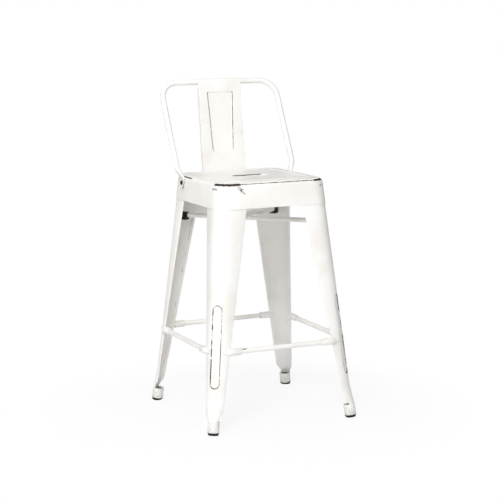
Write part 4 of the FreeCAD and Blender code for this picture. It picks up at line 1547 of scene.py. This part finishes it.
@dataclass
class Brace:
    """Two crossing bars under the seat with rubber bumpers on their ends."""

    finishes: Finishes
    height: float = 501.0
    radius: float = 6.25
    rise: float = 8.5
    ramp_start: float = 62.0
    ramp_end: float = 30.0
    bend_radius: float = 30.0
    flat_half: float = 16.0
    joint_gap: float = 0.1
    end_lip: float = 0.8
    points: int = 24
    bend_steps: int = 4
    lower_turn: float = 135.0
    upper_turn: float = 45.0
    bumper_size: tuple[float, float, float] = (22.0, 20.0, 20.0)
    bumper_drop: float = 2.5
    bumper_distance: float = 182.0
    bumper_corner: float = 3.0
    bumper_steps: int = 5

    def reach(self) -> float:
        """How far out a bar runs, taken from the frame's own bar."""
        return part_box("brace_bar_lower")[1].x / MM * math.sqrt(2) - self.radius

    def flatten(self, piece: bpy.types.Object, above: bool) -> None:
        """Presses the bar flat where the two bars meet.

        Args:
            piece: The bar.
            above: Whether its upper side is pressed.
        """
        joint = self.height + self.rise / 2 + (-1 if above else 1) * self.joint_gap / 2
        with editing(piece):
            pick(piece, Mode.POINT, lambda m, w: abs(m.x) < self.flat_half + NEAR
                 and (m.z > joint if above else m.z < joint))
            bpy.ops.transform.resize(value=(1, 1, 0), center_override=Vector((0, 0, joint)) * MM)

    def lower_bar(self) -> bpy.types.Object:
        """Builds the straight bar along X.

        Returns:
            The piece.
        """
        reach, e = self.reach(), self.end_lip
        pipe = Pipe("brace_bar_lower")
        pipe.ring(Vector((-reach, 0, self.height)), X_AXIS, self.radius - e, self.points)
        for step in (e, reach - self.flat_half - e, self.flat_half, self.flat_half,
                     reach - self.flat_half - e, e):
            extrude(Vector((step, 0, 0)))
        piece = self.close_bar(pipe, reach, e)
        self.flatten(piece, True)
        return piece

    def close_bar(self, pipe: Pipe, reach: float, lip: float) -> bpy.types.Object:
        """Widens all sections but the end ones, and closes the bar's ends.

        Args:
            pipe: The pen that drew the bar.
            reach: Distance of the ends from the middle.
            lip: Height of the chamfer at the ends.

        Returns:
            The bar.
        """
        pick(pipe.piece, Mode.POINT, lambda m, w: abs(m.x) < reach - lip / 2)
        share = self.radius / (self.radius - lip)
        self.widen(pipe.piece, share)
        pipe.cap_ends(reach)
        return pipe.finish()

    def widen(self, piece: bpy.types.Object, share: float) -> None:
        """Moves the picked points out from the bar's middle line.

        Args:
            piece: The bar in edit mode.
            share: New radius over the old one.
        """
        mesh = bmesh.from_edit_mesh(piece.data)
        rings: dict[int, list] = {}
        # Points of one ring have the same place along the bar, to a tenth of a millimetre.
        for v in mesh.verts:
            if v.select:
                rings.setdefault(round(v.co.x / MM * 10), []).append(v)
        for ring in rings.values():
            middle = sum((v.co for v in ring), Vector()) / len(ring)
            for v in ring:
                v.co = middle + (v.co - middle) * share
        bmesh.update_edit_mesh(piece.data)

    def build(self) -> list[bpy.types.Object]:
        """Builds and dresses both bars and the four bumpers.

        Returns:
            The six pieces.
        """
        lower = self.lower_bar()
        upper = self.upper_bar()
        made = []
        for name, bar, degrees in (("brace_bar_lower", lower, self.lower_turn),
                                   ("brace_bar_upper", upper, self.upper_turn)):
            bar.data.transform(Matrix.Rotation(math.radians(degrees), 4, "Z"))
            smooth(bar)
            self.finishes.dress(bar, self.finishes.paint, "white_paint", name)
            made.append(bar)
        return made + self.bumpers()

    def upper_bar(self) -> bpy.types.Object:
        """Builds the bar along X that rises over the other one.

        Returns:
            The piece.
        """
        reach, e = self.reach(), self.end_lip
        run = self.ramp_start - self.ramp_end
        slope = math.degrees(math.atan2(self.rise, run))
        cut = self.bend_radius * math.tan(math.radians(slope) / 2)
        z = self.height
        slant = Vector((run, 0, self.rise)).normalized()
        long = math.hypot(run, self.rise) - 2 * cut
        pipe = Pipe("brace_bar_upper")
        pipe.ring(Vector((-reach, 0, z)), X_AXIS, self.radius, self.points)
        extrude(Vector((reach - self.ramp_start - cut, 0, 0)))
        x = -self.ramp_start - cut
        pipe.bend(Vector((x, 0, z + self.bend_radius)), Y_AXIS, -slope, self.bend_steps)
        extrude(slant * long)
        x = -self.ramp_end + cut
        top = z + self.rise
        pipe.bend(Vector((x, 0, top - self.bend_radius)), Y_AXIS, slope, self.bend_steps)
        for step in (-x - self.flat_half, self.flat_half, self.flat_half, -x - self.flat_half):
            extrude(Vector((step, 0, 0)))
        pipe.bend(Vector((-x, 0, top - self.bend_radius)), Y_AXIS, slope, self.bend_steps)
        extrude(Vector((slant.x, 0, -slant.z)) * long)
        pipe.bend(Vector((self.ramp_start + cut, 0, z + self.bend_radius)), Y_AXIS, -slope, self.bend_steps)
        extrude(Vector((reach - self.ramp_start - cut, 0, 0)))
        pipe.cap_ends(reach)
        piece = pipe.finish()
        self.flatten(piece, False)
        return piece

    def bumpers(self) -> list[bpy.types.Object]:
        """Builds the rubber blocks on the bars' ends.

        Returns:
            The four pieces.
        """
        long, wide, tall = self.bumper_size
        middle = Vector((self.bumper_distance, 0, self.height - self.bumper_drop)) * MM
        clear_selection()
        bpy.ops.mesh.primitive_cube_add(size=1, location=middle, scale=Vector((long, wide, tall)) * MM)
        block = bpy.context.object
        bpy.ops.object.transform_apply(location=True, rotation=True, scale=True)
        bevel(block, self.bumper_corner, self.bumper_steps)
        block.data.transform(Matrix.Rotation(math.radians(self.upper_turn), 4, "Z"))
        smooth(block)
        return self.finishes.dress_round(block, "bumper", Corner, self.finishes.rubber, "black_rubber")


@dataclass(frozen=True)
class BackPlan:
    """Sizes that the back frame, the slat and their bolts share."""

    tube_radius: float = 7.0
    half_width: float = 163.4
    top_height: float = 838.5
    top_y: float = 196.2
    seat_y: float = 77.5
    corner_radius: float = 45.0
    straight_end: float = 628.0
    tab_width: float = 29.0
    tab_thickness: float = 5.0
    tab_gap: float = 0.1
    tab_start: float = 601.0
    tab_y: float = 79.5
    side_bolt_height: float = 591.0
    slat_bolt_height: float = 571.0
    slat_bolt_spacing: float = 72.0
    slat_sheet: float = 1.2
    slat_gap: float = 0.1
    kink_height: float = 601.0
    kink_step: float = 10.4
    panel_top: float = 813.0
    panel_bottom: float = 655.0
    panel_top_width: float = 71.0
    panel_bottom_width: float = 57.5

    @property
    def turn(self) -> float:
        """Radius of the middle of the slat's sheet round the top tube."""
        return self.tube_radius + self.slat_gap + self.slat_sheet / 2

    @property
    def tilt(self) -> float:
        """Angle of the slat to the vertical.

        Returns:
            The angle in radians.
        """
        rise = self.top_height - self.kink_height
        run = self.top_y - self.foot_y(self.kink_height) - self.kink_step
        return math.atan2(run, rise) - math.asin(self.turn / math.hypot(run, rise))

    def line_y(self, z: float) -> float:
        """Depth of the middle of the slat's sheet at height z."""
        y = self.top_y - self.turn * math.cos(self.tilt)
        return y + math.tan(self.tilt) * (z - self.top_height - self.turn * math.sin(self.tilt))

    def plane_y(self, z: float) -> float:
        """Depth of the back frame's axis at height z."""
        slope = (self.top_y - self.seat_y) / (self.top_height - BODY.seat_height)
        return self.seat_y + slope * (z - BODY.seat_height)

    def tab_x(self, z: float) -> float:
        """Distance from the middle to the middle of a tab's thickness at height z."""
        return BODY.skirt_plane(z) + self.tab_gap + self.tab_thickness / 2

    def foot_y(self, z: float) -> float:
        """Depth of the middle of the slat's sheet where it lies on the skirt."""
        return BODY.skirt_plane(z) + self.slat_gap + self.slat_sheet / 2


BACK = BackPlan()


@dataclass
class BackFrame:
    """Bent tube of the back with a flattened tab at each lower end."""

    finishes: Finishes
    points: int = 24
    bend_steps: int = 12
    blend_loops: int = 5
    tab_degrees: tuple[int, ...] = (18, 36, 52, 66, 78, 86)
    tab_widening: float = 0.1
    least_flat: float = 0.05
    merge: float = 0.05
    shade_angle: float = 50.0

    def arch(self) -> bpy.types.Object:
        """Builds the tube from one tab to the other.

        Returns:
            The piece, with open ends.
        """
        w, r = BACK.half_width, BACK.corner_radius
        low = Vector((-w, BACK.plane_y(BACK.straight_end), BACK.straight_end))
        high = Vector((-w, BACK.top_y, BACK.top_height))
        up = (high - low).normalized()
        axis = X_AXIS.cross(up).normalized()
        pipe = Pipe("back_frame")
        pipe.ring(low, up, BACK.tube_radius, self.points)
        extrude(high - up * r - low)
        turn = -90 if axis.dot(up.cross(X_AXIS)) < 0 else 90
        pipe.bend(high - up * r + X_AXIS * r, axis, turn, self.bend_steps)
        extrude(Vector((2 * (w - r), 0, 0)))
        corner = Vector((w, high.y, high.z))
        pipe.bend(corner - up * r - X_AXIS * r, axis, turn, self.bend_steps)
        extrude(low - high + up * r)
        return pipe.finish()

    def flat(self, pen: Pen, z: float, width: float, thickness: float) -> None:
        """Draws a flattened section of the right tab at height z.

        Args:
            pen: The pen to draw with.
            z: Its height.
            width: Its width.
            thickness: Its thickness.
        """
        r = thickness / 2
        s = max(width / 2 - r, self.least_flat)
        c = Vector((BACK.tab_x(z), BACK.tab_y, z))
        steps = self.points // 2 - 1
        pen.start(c + Vector((-r, -s, 0)))
        pen.arc(c + Vector((0, -s, 0)), Z_AXIS, 180, steps)
        pen.to(c + Vector((r, s, 0)))
        pen.arc(c + Vector((0, s, 0)), Z_AXIS, 180, steps)
        pen.to(c + Vector((-r, -s, 0)))
        pen.close()

    def tab(self) -> bpy.types.Object:
        """Builds the flattened end of the tube on the right.

        Returns:
            The piece.
        """
        neck = Vector((BACK.half_width, BACK.plane_y(BACK.straight_end), BACK.straight_end))
        up = Vector((0, BACK.plane_y(1) - BACK.plane_y(0), 1)).normalized()
        pen = Pipe("tab")
        pen.ring(neck, up, BACK.tube_radius, self.points)
        wide, thick = BACK.tab_width, BACK.tab_thickness
        self.flat(pen, BACK.tab_start, wide, thick)
        self.flat(pen, BACK.side_bolt_height, wide, thick)
        for degrees in self.tab_degrees:
            angle = math.radians(degrees)
            z = BACK.side_bolt_height - wide / 2 * math.sin(angle)
            self.flat(pen, z, wide * math.cos(angle) + thick * self.tab_widening, thick)
        pen.bridge([self.blend_loops])
        pen.cap(len(pen.rings) - 1)
        return pen.finish()

    def build(self) -> bpy.types.Object:
        """Builds and dresses the back frame.

        Returns:
            The piece.
        """
        right = self.tab()
        left = copied(right, "left_tab", Matrix.Scale(-1, 4, X_AXIS))
        piece = joined("back_frame", [self.arch(), right, left])
        with editing(piece):
            bpy.ops.mesh.select_all(action="SELECT")
            bpy.ops.mesh.remove_doubles(threshold=self.merge * MM)
            bpy.ops.mesh.normals_make_consistent(inside=False)
        smooth(piece, self.shade_angle)
        self.finishes.dress(piece, self.finishes.paint, "white_paint", "back_frame")
        return piece


@dataclass
class BackSlat:
    """Sheet slat with a hook over the top tube, a pressed panel and a foot on the rear skirt."""

    finishes: Finishes
    width: float = 120.0
    hook_angle: float = 200.0
    hook_steps: int = 20
    land_height: float = 590.0
    foot_height: float = 552.0
    bend_radius: float = 6.0
    bend_steps: int = 4
    return_depth: float = 7.0
    return_clear: float = 14.0
    panel_corner: float = 6.0
    corner_steps: int = 6
    panel_depth: float = 2.4
    panel_draft: float = 2.4
    flat_middle: float = 700.0
    flat_half: float = 90.0

    def on_line(self, x: float, z: float) -> Vector:
        """Point on the middle of the slat's sheet."""
        return Vector((x, BACK.line_y(z), z))

    def bent(self, pen: Pen, before: Vector, corner: Vector, after: Vector) -> None:
        """Draws up to a bend of the slat's radius at a corner and round it.

        Args:
            pen: The pen to draw with.
            before: A point before the corner.
            corner: The corner.
            after: A point after the corner.
        """
        a, b = (before - corner).normalized(), (after - corner).normalized()
        half = a.angle(b) / 2
        back = self.bend_radius / math.tan(half)
        centre = corner + (a + b).normalized() * (self.bend_radius / math.sin(half))
        pen.to(corner + a * back)
        sign = 1 if (corner - before).cross(after - corner).x > 0 else -1
        pen.arc(centre, X_AXIS, sign * math.degrees(math.pi - 2 * half), self.bend_steps)

    def sheet(self) -> bpy.types.Object:
        """Draws the slat seen edge on and extrudes it to its width.

        Returns:
            The piece, as a sheet with no thickness and no panel.
        """
        x = -self.width / 2
        centre = Vector((x, BACK.top_y, BACK.top_height))
        out = Vector((0, -math.cos(BACK.tilt), math.sin(BACK.tilt))) * BACK.turn
        start = centre + Matrix.Rotation(math.radians(-self.hook_angle), 3, "X") @ out
        kink = self.on_line(x, BACK.kink_height)
        land = Vector((x, BACK.foot_y(self.land_height), self.land_height))
        foot = Vector((x, BACK.foot_y(self.foot_height), self.foot_height))
        top = BACK.top_height - self.return_clear
        low = BACK.kink_height + self.bend_radius
        pen = Pen("back_slat")
        pen.start(start)
        pen.arc(centre, X_AXIS, self.hook_angle, self.hook_steps)
        pen.to(self.on_line(x, top), self.on_line(x, low))
        self.bent(pen, self.on_line(x, low), kink, land)
        self.bent(pen, kink, land, foot)
        pen.to(foot)
        bpy.ops.mesh.select_all(action="SELECT")
        extrude(X_AXIS * self.width)
        self.main_face(pen.piece)
        bpy.ops.mesh.delete(type="ONLY_FACE")
        self.panel(pen)
        self.returns(pen.piece)
        piece = pen.finish()
        flat = [f for f in piece.data.polygons if abs(f.center.z / MM - self.flat_middle) < self.flat_half]
        if sum(f.normal.y * f.area for f in flat) > 0:
            piece.data.flip_normals()
        return piece

    def main_face(self, piece: bpy.types.Object) -> None:
        """Picks the tall flat face that takes the panel."""
        middle = (BACK.top_height - self.return_clear + BACK.kink_height + self.bend_radius) / 2
        pick(piece, Mode.FACE, lambda m, w: abs(m.z - middle) < 1)

    def outline(self, pen: Pen, grow: float, level: float) -> None:
        """Draws the panel's tapered outline with round corners.

        Args:
            pen: The pen to draw with.
            grow: How much wider than the stamped outline it is.
            level: How far it lies behind the slat's face.
        """
        up = Vector((0, math.sin(BACK.tilt), math.cos(BACK.tilt)))
        back = Vector((0, math.cos(BACK.tilt), -math.sin(BACK.tilt)))
        middle = self.on_line(0, (BACK.panel_top + BACK.panel_bottom) / 2) + back * level
        half = (BACK.panel_top - BACK.panel_bottom) / 2 / math.cos(BACK.tilt) + grow
        top, low = BACK.panel_top_width / 2 + grow, BACK.panel_bottom_width / 2 + grow
        corners = [middle + X_AXIS * x + up * v for x, v in
                   ((top, half), (-top, half), (-low, -half), (low, -half))]
        radius = self.panel_corner + grow
        pen.start((corners[3] + corners[0]) / 2)
        for i, corner in enumerate(corners):
            before, after = corners[i - 1], corners[(i + 1) % 4]
            a, b = (before - corner).normalized(), (after - corner).normalized()
            angle = a.angle(b) / 2
            pen.to(corner + a * (radius / math.tan(angle)))
            centre = corner + (a + b).normalized() * (radius / math.sin(angle))
            pen.arc(centre, -back, math.degrees(math.pi - 2 * angle), self.corner_steps)
        pen.to((corners[3] + corners[0]) / 2)
        pen.close()

    def panel(self, pen: Pen) -> None:
        """Stamps the panel into the open main face.

        Args:
            pen: The pen that drew the sheet.
        """
        draft, depth = self.panel_draft, self.panel_depth
        # Each level is how far the outline grows and how deep it lies. The first three round the upper
        # edge, the last three the lower one.
        levels = ((0.9, 0.02), (0.25, 0.15), (-0.25, 0.6),
                  (-draft + 0.5, depth - 0.6), (-draft, depth - 0.15), (-draft - 0.7, depth))
        for grow, level in levels:
            self.outline(pen, grow, level)
        pen.bridge()
        pen.cap(len(levels) - 1)
        low = BACK.kink_height + self.bend_radius
        top = BACK.top_height - self.return_clear
        pen.pick_rings(0)
        mesh = bmesh.from_edit_mesh(pen.piece.data)
        for edge in mesh.edges:
            z = [v.co.z / MM for v in edge.verts]
            at_side = all(abs(abs(v.co.x / MM) - self.width / 2) < NEAR for v in edge.verts)
            touches = abs(min(z) - low) < NEAR or abs(max(z) - top) < NEAR
            inside = min(z) > low - 2 * NEAR and max(z) < top + 2 * NEAR
            open_side = len(edge.link_faces) == 1 and at_side and touches and inside
            if open_side or not edge.link_faces:
                edge.select_set(True)
        bmesh.update_edit_mesh(pen.piece.data)
        bpy.ops.mesh.bridge_edge_loops()

    def returns(self, piece: bpy.types.Object) -> None:
        """Turns narrow flanges back along both sides.

        Args:
            piece: The sheet in edit mode.
        """
        low = BACK.kink_height + self.bend_radius
        top = BACK.top_height - self.return_clear
        back = Vector((0, math.cos(BACK.tilt), -math.sin(BACK.tilt)))
        for side in (-1, 1):
            pick(piece, Mode.EDGE, lambda m, w: abs(m.x - side * self.width / 2) < NEAR
                 and abs(m.z - (low + top) / 2) < 1)
            extrude(back * self.return_depth)

    def build(self) -> bpy.types.Object:
        """Builds and dresses the slat.

        Returns:
            The piece.
        """
        piece = self.sheet()
        thicken(piece, BACK.slat_sheet, 0)
        smooth(piece)
        self.finishes.dress(piece, self.finishes.paint, "white_paint", "back_slat")
        return piece


@dataclass
class Fasteners:
    """Dome-head bolts with washers and hexagon nuts for the back frame and the slat."""

    finishes: Finishes
    bolt_radius: float = 3.0
    head_radius: float = 6.0
    head_height: float = 4.5
    nut_across_flats: float = 10.0
    nut_height: float = 5.0
    washer_radius: float = 7.0
    washer_thickness: float = 1.2
    seat_gap: float = 0.1
    tail: float = 2.0
    tip_chamfer: float = 0.5
    head_lip: float = 0.3
    dome_steps: int = 8
    dome_opening: float = 2.0
    bore_gap: float = 0.05
    washer_edge: float = 0.2
    nut_edge: float = 0.4
    round_steps: int = 32
    shade_angle: float = 35.0

    def place(self, piece: bpy.types.Object, outward: Vector, point: Vector) -> None:
        """Turns a piece made along +Z to point outwards and sets it on a point."""
        turn = Z_AXIS.rotation_difference(outward).to_matrix().to_4x4()
        piece.data.transform(Matrix.Translation(point * MM) @ turn)

    def bolt(self, name: str, length: float) -> bpy.types.Object:
        """Builds a bolt along +Z whose head lies on the origin.

        Args:
            name: Name of the piece.
            length: Length of its shank.

        Returns:
            The piece.
        """
        shank, r, h = self.bolt_radius, self.head_radius, self.head_height
        tip, lip = self.tip_chamfer, self.head_lip
        ball = (r * r + h * h) / (2 * h)
        sweep = math.degrees(math.asin(r / ball)) - self.dome_opening

        def profile(pen: Pen) -> None:
            """Draws the outline from the shank's tip to the top of the dome.

            Args:
                pen: The pen to draw with.
            """
            pen.start(Vector((0, 0, -length)))
            pen.to(*[Vector((x, 0, z)) for x, z in
                     ((shank - tip, -length), (shank, -length + tip), (shank, 0), (r - lip, 0), (r, lip))])
            pen.arc(Vector((0, 0, h - ball)), Y_AXIS, -sweep, self.dome_steps)

        return spun(name, profile, ORIGIN, Z_AXIS, self.round_steps)

    def washer(self, name: str) -> bpy.types.Object:
        """Builds a washer under the origin.

        Args:
            name: Name of the piece.

        Returns:
            The piece.
        """
        inner, outer = self.bolt_radius + self.bore_gap, self.washer_radius
        t, e = self.washer_thickness, self.washer_edge

        def profile(pen: Pen) -> None:
            """Draws the washer's section.

            Args:
                pen: The pen to draw with.
            """
            pen.start(Vector((inner, 0, 0)))
            pen.to(*[Vector((x, 0, z)) for x, z in
                     ((outer - e, 0), (outer, -e), (outer, e - t), (outer - e, -t), (inner, -t), (inner, 0))])

        return spun(name, profile, ORIGIN, Z_AXIS, self.round_steps)

    def nut(self, name: str) -> bpy.types.Object:
        """Builds a hexagon nut with chamfered corners under the origin.

        Args:
            name: Name of the piece.

        Returns:
            The piece.
        """
        clear_selection()
        bpy.ops.mesh.primitive_cylinder_add(vertices=6, radius=self.nut_across_flats / math.sqrt(3) * MM,
                                            depth=self.nut_height * MM,
                                            location=(0, 0, -self.nut_height / 2 * MM))
        piece = bpy.context.object
        piece.name = piece.data.name = name
        bpy.ops.object.transform_apply(location=True, rotation=True, scale=True)
        bevel(piece, self.nut_edge, 2)
        return piece

    def build(self) -> list[bpy.types.Object]:
        """Builds the bolts, washers and nuts in their six groups.

        Returns:
            The six pieces.
        """
        tilt = math.cos(math.atan(BODY.lean))
        sheets = {"frame": (BACK.tab_gap + BODY.seat_sheet + BODY.tuck_gap + BODY.leg_sheet) * tilt
                  + BACK.tab_thickness,
                  "slat": BACK.slat_gap * tilt + BACK.slat_sheet + BODY.seat_sheet * tilt}
        plates = {"frame": BACK.tab_thickness, "slat": BACK.slat_sheet}
        made = []
        for owner, grip in sheets.items():
            groups: dict[str, list[bpy.types.Object]] = {"bolts": [], "washers": [], "nuts": []}
            for side in (-1, 1):
                if owner == "frame":
                    outward = Vector((side, 0, BODY.lean)).normalized()
                    z = BACK.side_bolt_height
                    middle = Vector((side * BACK.tab_x(z), BACK.tab_y, z))
                else:
                    outward = Vector((0, 1, BODY.lean)).normalized()
                    z = BACK.slat_bolt_height
                    middle = Vector((side * BACK.slat_bolt_spacing / 2, BACK.foot_y(z), z))
                face = middle + outward * plates[owner] / 2
                inner = face - outward * (grip + self.seat_gap)
                under = inner - outward * (self.washer_thickness + self.seat_gap)
                stack = grip + self.washer_thickness + self.nut_height + 2 * self.seat_gap + self.tail
                for kind, piece, point in (
                        ("bolts", self.bolt("bolt", stack), face + outward * self.seat_gap),
                        ("washers", self.washer("washer"), inner),
                        ("nuts", self.nut("nut"), under)):
                    self.place(piece, outward, point)
                    groups[kind].append(piece)
            for kind, pieces in groups.items():
                name = owner + "_" + kind
                piece = joined(name, pieces)
                smooth(piece, self.shade_angle)
                self.finishes.dress(piece, self.finishes.steel, "dark_steel", name)
                made.append(piece)
        return made


@dataclass(frozen=True)
class Lamp:
    """A square soft lamp, with its place and its size in millimetres."""

    name: str
    place: Place
    size: float
    watts: float


LAMPS = (
    Lamp("key_lamp", (-1650, -2050, 2700), 1300, 80),
    Lamp("side_lamp", (-3000, -300, 1500), 1600, 17),
    Lamp("front_lamp", (300, -3000, 1500), 1600, 13),
    Lamp("top_lamp", (0, 300, 3200), 1800, 14),
)


@dataclass
class Studio:
    """White floor, soft lamps and the camera at the photograph's angle."""

    floor_size: float = 24000.0
    floor_colour: str = "#fafafa"
    floor_roughness: float = 0.9
    floor_glow: float = 0.86
    white: str = "#ffffff"
    room_strength: float = 0.26
    shadow_start: float = 300.0
    shadow_end: float = 640.0
    azimuth: float = -24.46
    elevation: float = 9.53
    distance: float = 3804.6
    focal_pixels: float = 1481.9
    image_pixels: float = 500.0
    aim_height: float = 400.0
    aim_right: float = 0.24
    aim_down: float = 6.46
    roll: float = -0.53
    sensor: float = 36.0
    sight: float = 50000.0

    def build(self) -> None:
        """Builds the floor, the world, the lamps and the camera."""
        self.floor()
        self.world()
        for lamp in LAMPS:
            self.hang(lamp)
        self.camera()

    def floor(self) -> None:
        """Lays the floor, whose look to the camera is plain white."""
        clear_selection()
        bpy.ops.mesh.primitive_plane_add(size=self.floor_size * MM)
        floor = bpy.context.object
        floor.name = "studio_floor"
        mix = Recipe("matt_white_floor")
        mix.shader.inputs["Base Color"].default_value = srgb(self.floor_colour)
        mix.shader.inputs["Roughness"].default_value = self.floor_roughness
        glow = mix.node("ShaderNodeEmission", {"Color": srgb(self.white), "Strength": 1.0})
        seen = mix.node("ShaderNodeLightPath").outputs["Is Camera Ray"]
        away = mix.node("ShaderNodeVectorMath", {0: mix.place}, operation="LENGTH").outputs["Value"]
        share = mix.ramp(away, self.shadow_start * MM, self.shadow_end * MM, self.floor_glow, 1.0)
        both = mix.node("ShaderNodeMixShader", {0: mix.math("MULTIPLY", seen, share),
                                                1: mix.shader.outputs[0], 2: glow.outputs[0]})
        mix.tree.links.new(both.outputs[0], mix.tree.nodes["Material Output"].inputs["Surface"])
        floor.data.materials.append(mix.material)

    def world(self) -> None:
        """Lights the room evenly, with white where the camera looks past the floor."""
        world = bpy.data.worlds.new("soft_room")
        bpy.context.scene.world = world
        world.use_nodes = True
        nodes, links = world.node_tree.nodes, world.node_tree.links
        room = nodes["Background"]
        room.inputs["Color"].default_value = srgb(self.white)
        room.inputs["Strength"].default_value = self.room_strength
        white = nodes.new("ShaderNodeBackground")
        white.inputs["Color"].default_value = srgb(self.white)
        white.inputs["Strength"].default_value = 1.0
        path = nodes.new("ShaderNodeLightPath")
        seen = nodes.new("ShaderNodeMath")
        seen.operation = "MAXIMUM"
        both = nodes.new("ShaderNodeMixShader")
        links.new(path.outputs["Is Camera Ray"], seen.inputs[0])
        links.new(path.outputs["Is Transmission Ray"], seen.inputs[1])
        links.new(seen.outputs[0], both.inputs[0])
        links.new(room.outputs[0], both.inputs[1])
        links.new(white.outputs[0], both.inputs[2])
        links.new(both.outputs[0], nodes["World Output"].inputs["Surface"])

    def hang(self, lamp: Lamp) -> None:
        """Hangs a lamp that looks at the middle of the stool.

        Args:
            lamp: The lamp to hang.
        """
        place = Vector(lamp.place)
        clear_selection()
        bpy.ops.object.light_add(type="AREA", location=place * MM)
        made = bpy.context.object
        made.name = lamp.name
        made.data.size = lamp.size * MM
        made.data.energy = lamp.watts
        aim = Vector((0, 0, self.aim_height)) - place
        made.rotation_euler = aim.to_track_quat("-Z", "Y").to_euler()

    def camera(self) -> None:
        """Sets the camera where the photograph was taken from."""
        az, el = math.radians(self.azimuth), math.radians(self.elevation)
        back = Vector((math.sin(az) * math.cos(el), -math.cos(az) * math.cos(el), math.sin(el)))
        ahead = -back
        right = ahead.cross(Z_AXIS).normalized()
        up = right.cross(ahead)
        roll = math.radians(self.roll)
        right, up = (right * math.cos(roll) + up * math.sin(roll),
                     up * math.cos(roll) - right * math.sin(roll))
        yaw = math.atan(self.aim_right / self.focal_pixels)
        pitch = math.atan(self.aim_down / self.focal_pixels)
        ahead, right = (ahead * math.cos(yaw) - right * math.sin(yaw),
                        right * math.cos(yaw) + ahead * math.sin(yaw))
        ahead, up = (ahead * math.cos(pitch) + up * math.sin(pitch),
                     up * math.cos(pitch) - ahead * math.sin(pitch))
        data = bpy.data.cameras.new("camera")
        data.sensor_width = self.sensor
        data.lens = self.focal_pixels / self.image_pixels * self.sensor
        data.clip_end = self.sight * MM
        camera = bpy.data.objects.new("camera", data)
        bpy.context.scene.collection.objects.link(camera)
        place = (Vector((0, 0, self.aim_height)) + back * self.distance) * MM
        turn = Matrix((right, up, -ahead)).transposed().to_4x4()
        camera.matrix_world = Matrix.Translation(place) @ turn
        bpy.context.scene.camera = camera


def main() -> None:
    """Builds the stool in order and reports each piece."""
    logging.basicConfig(level=logging.INFO, format="%(name)s: %(message)s")
    finishes = Finishes()
    for assembly in (SeatPan, Leg, Foot, FootRail, Brace, BackFrame, BackSlat, Fasteners):
        assembly(finishes).build()
        LOG.info("%s is built", assembly.__name__)
    Studio().build()
    bpy.context.scene.view_settings.view_transform = "Standard"


if __name__ == "__main__":
    main()
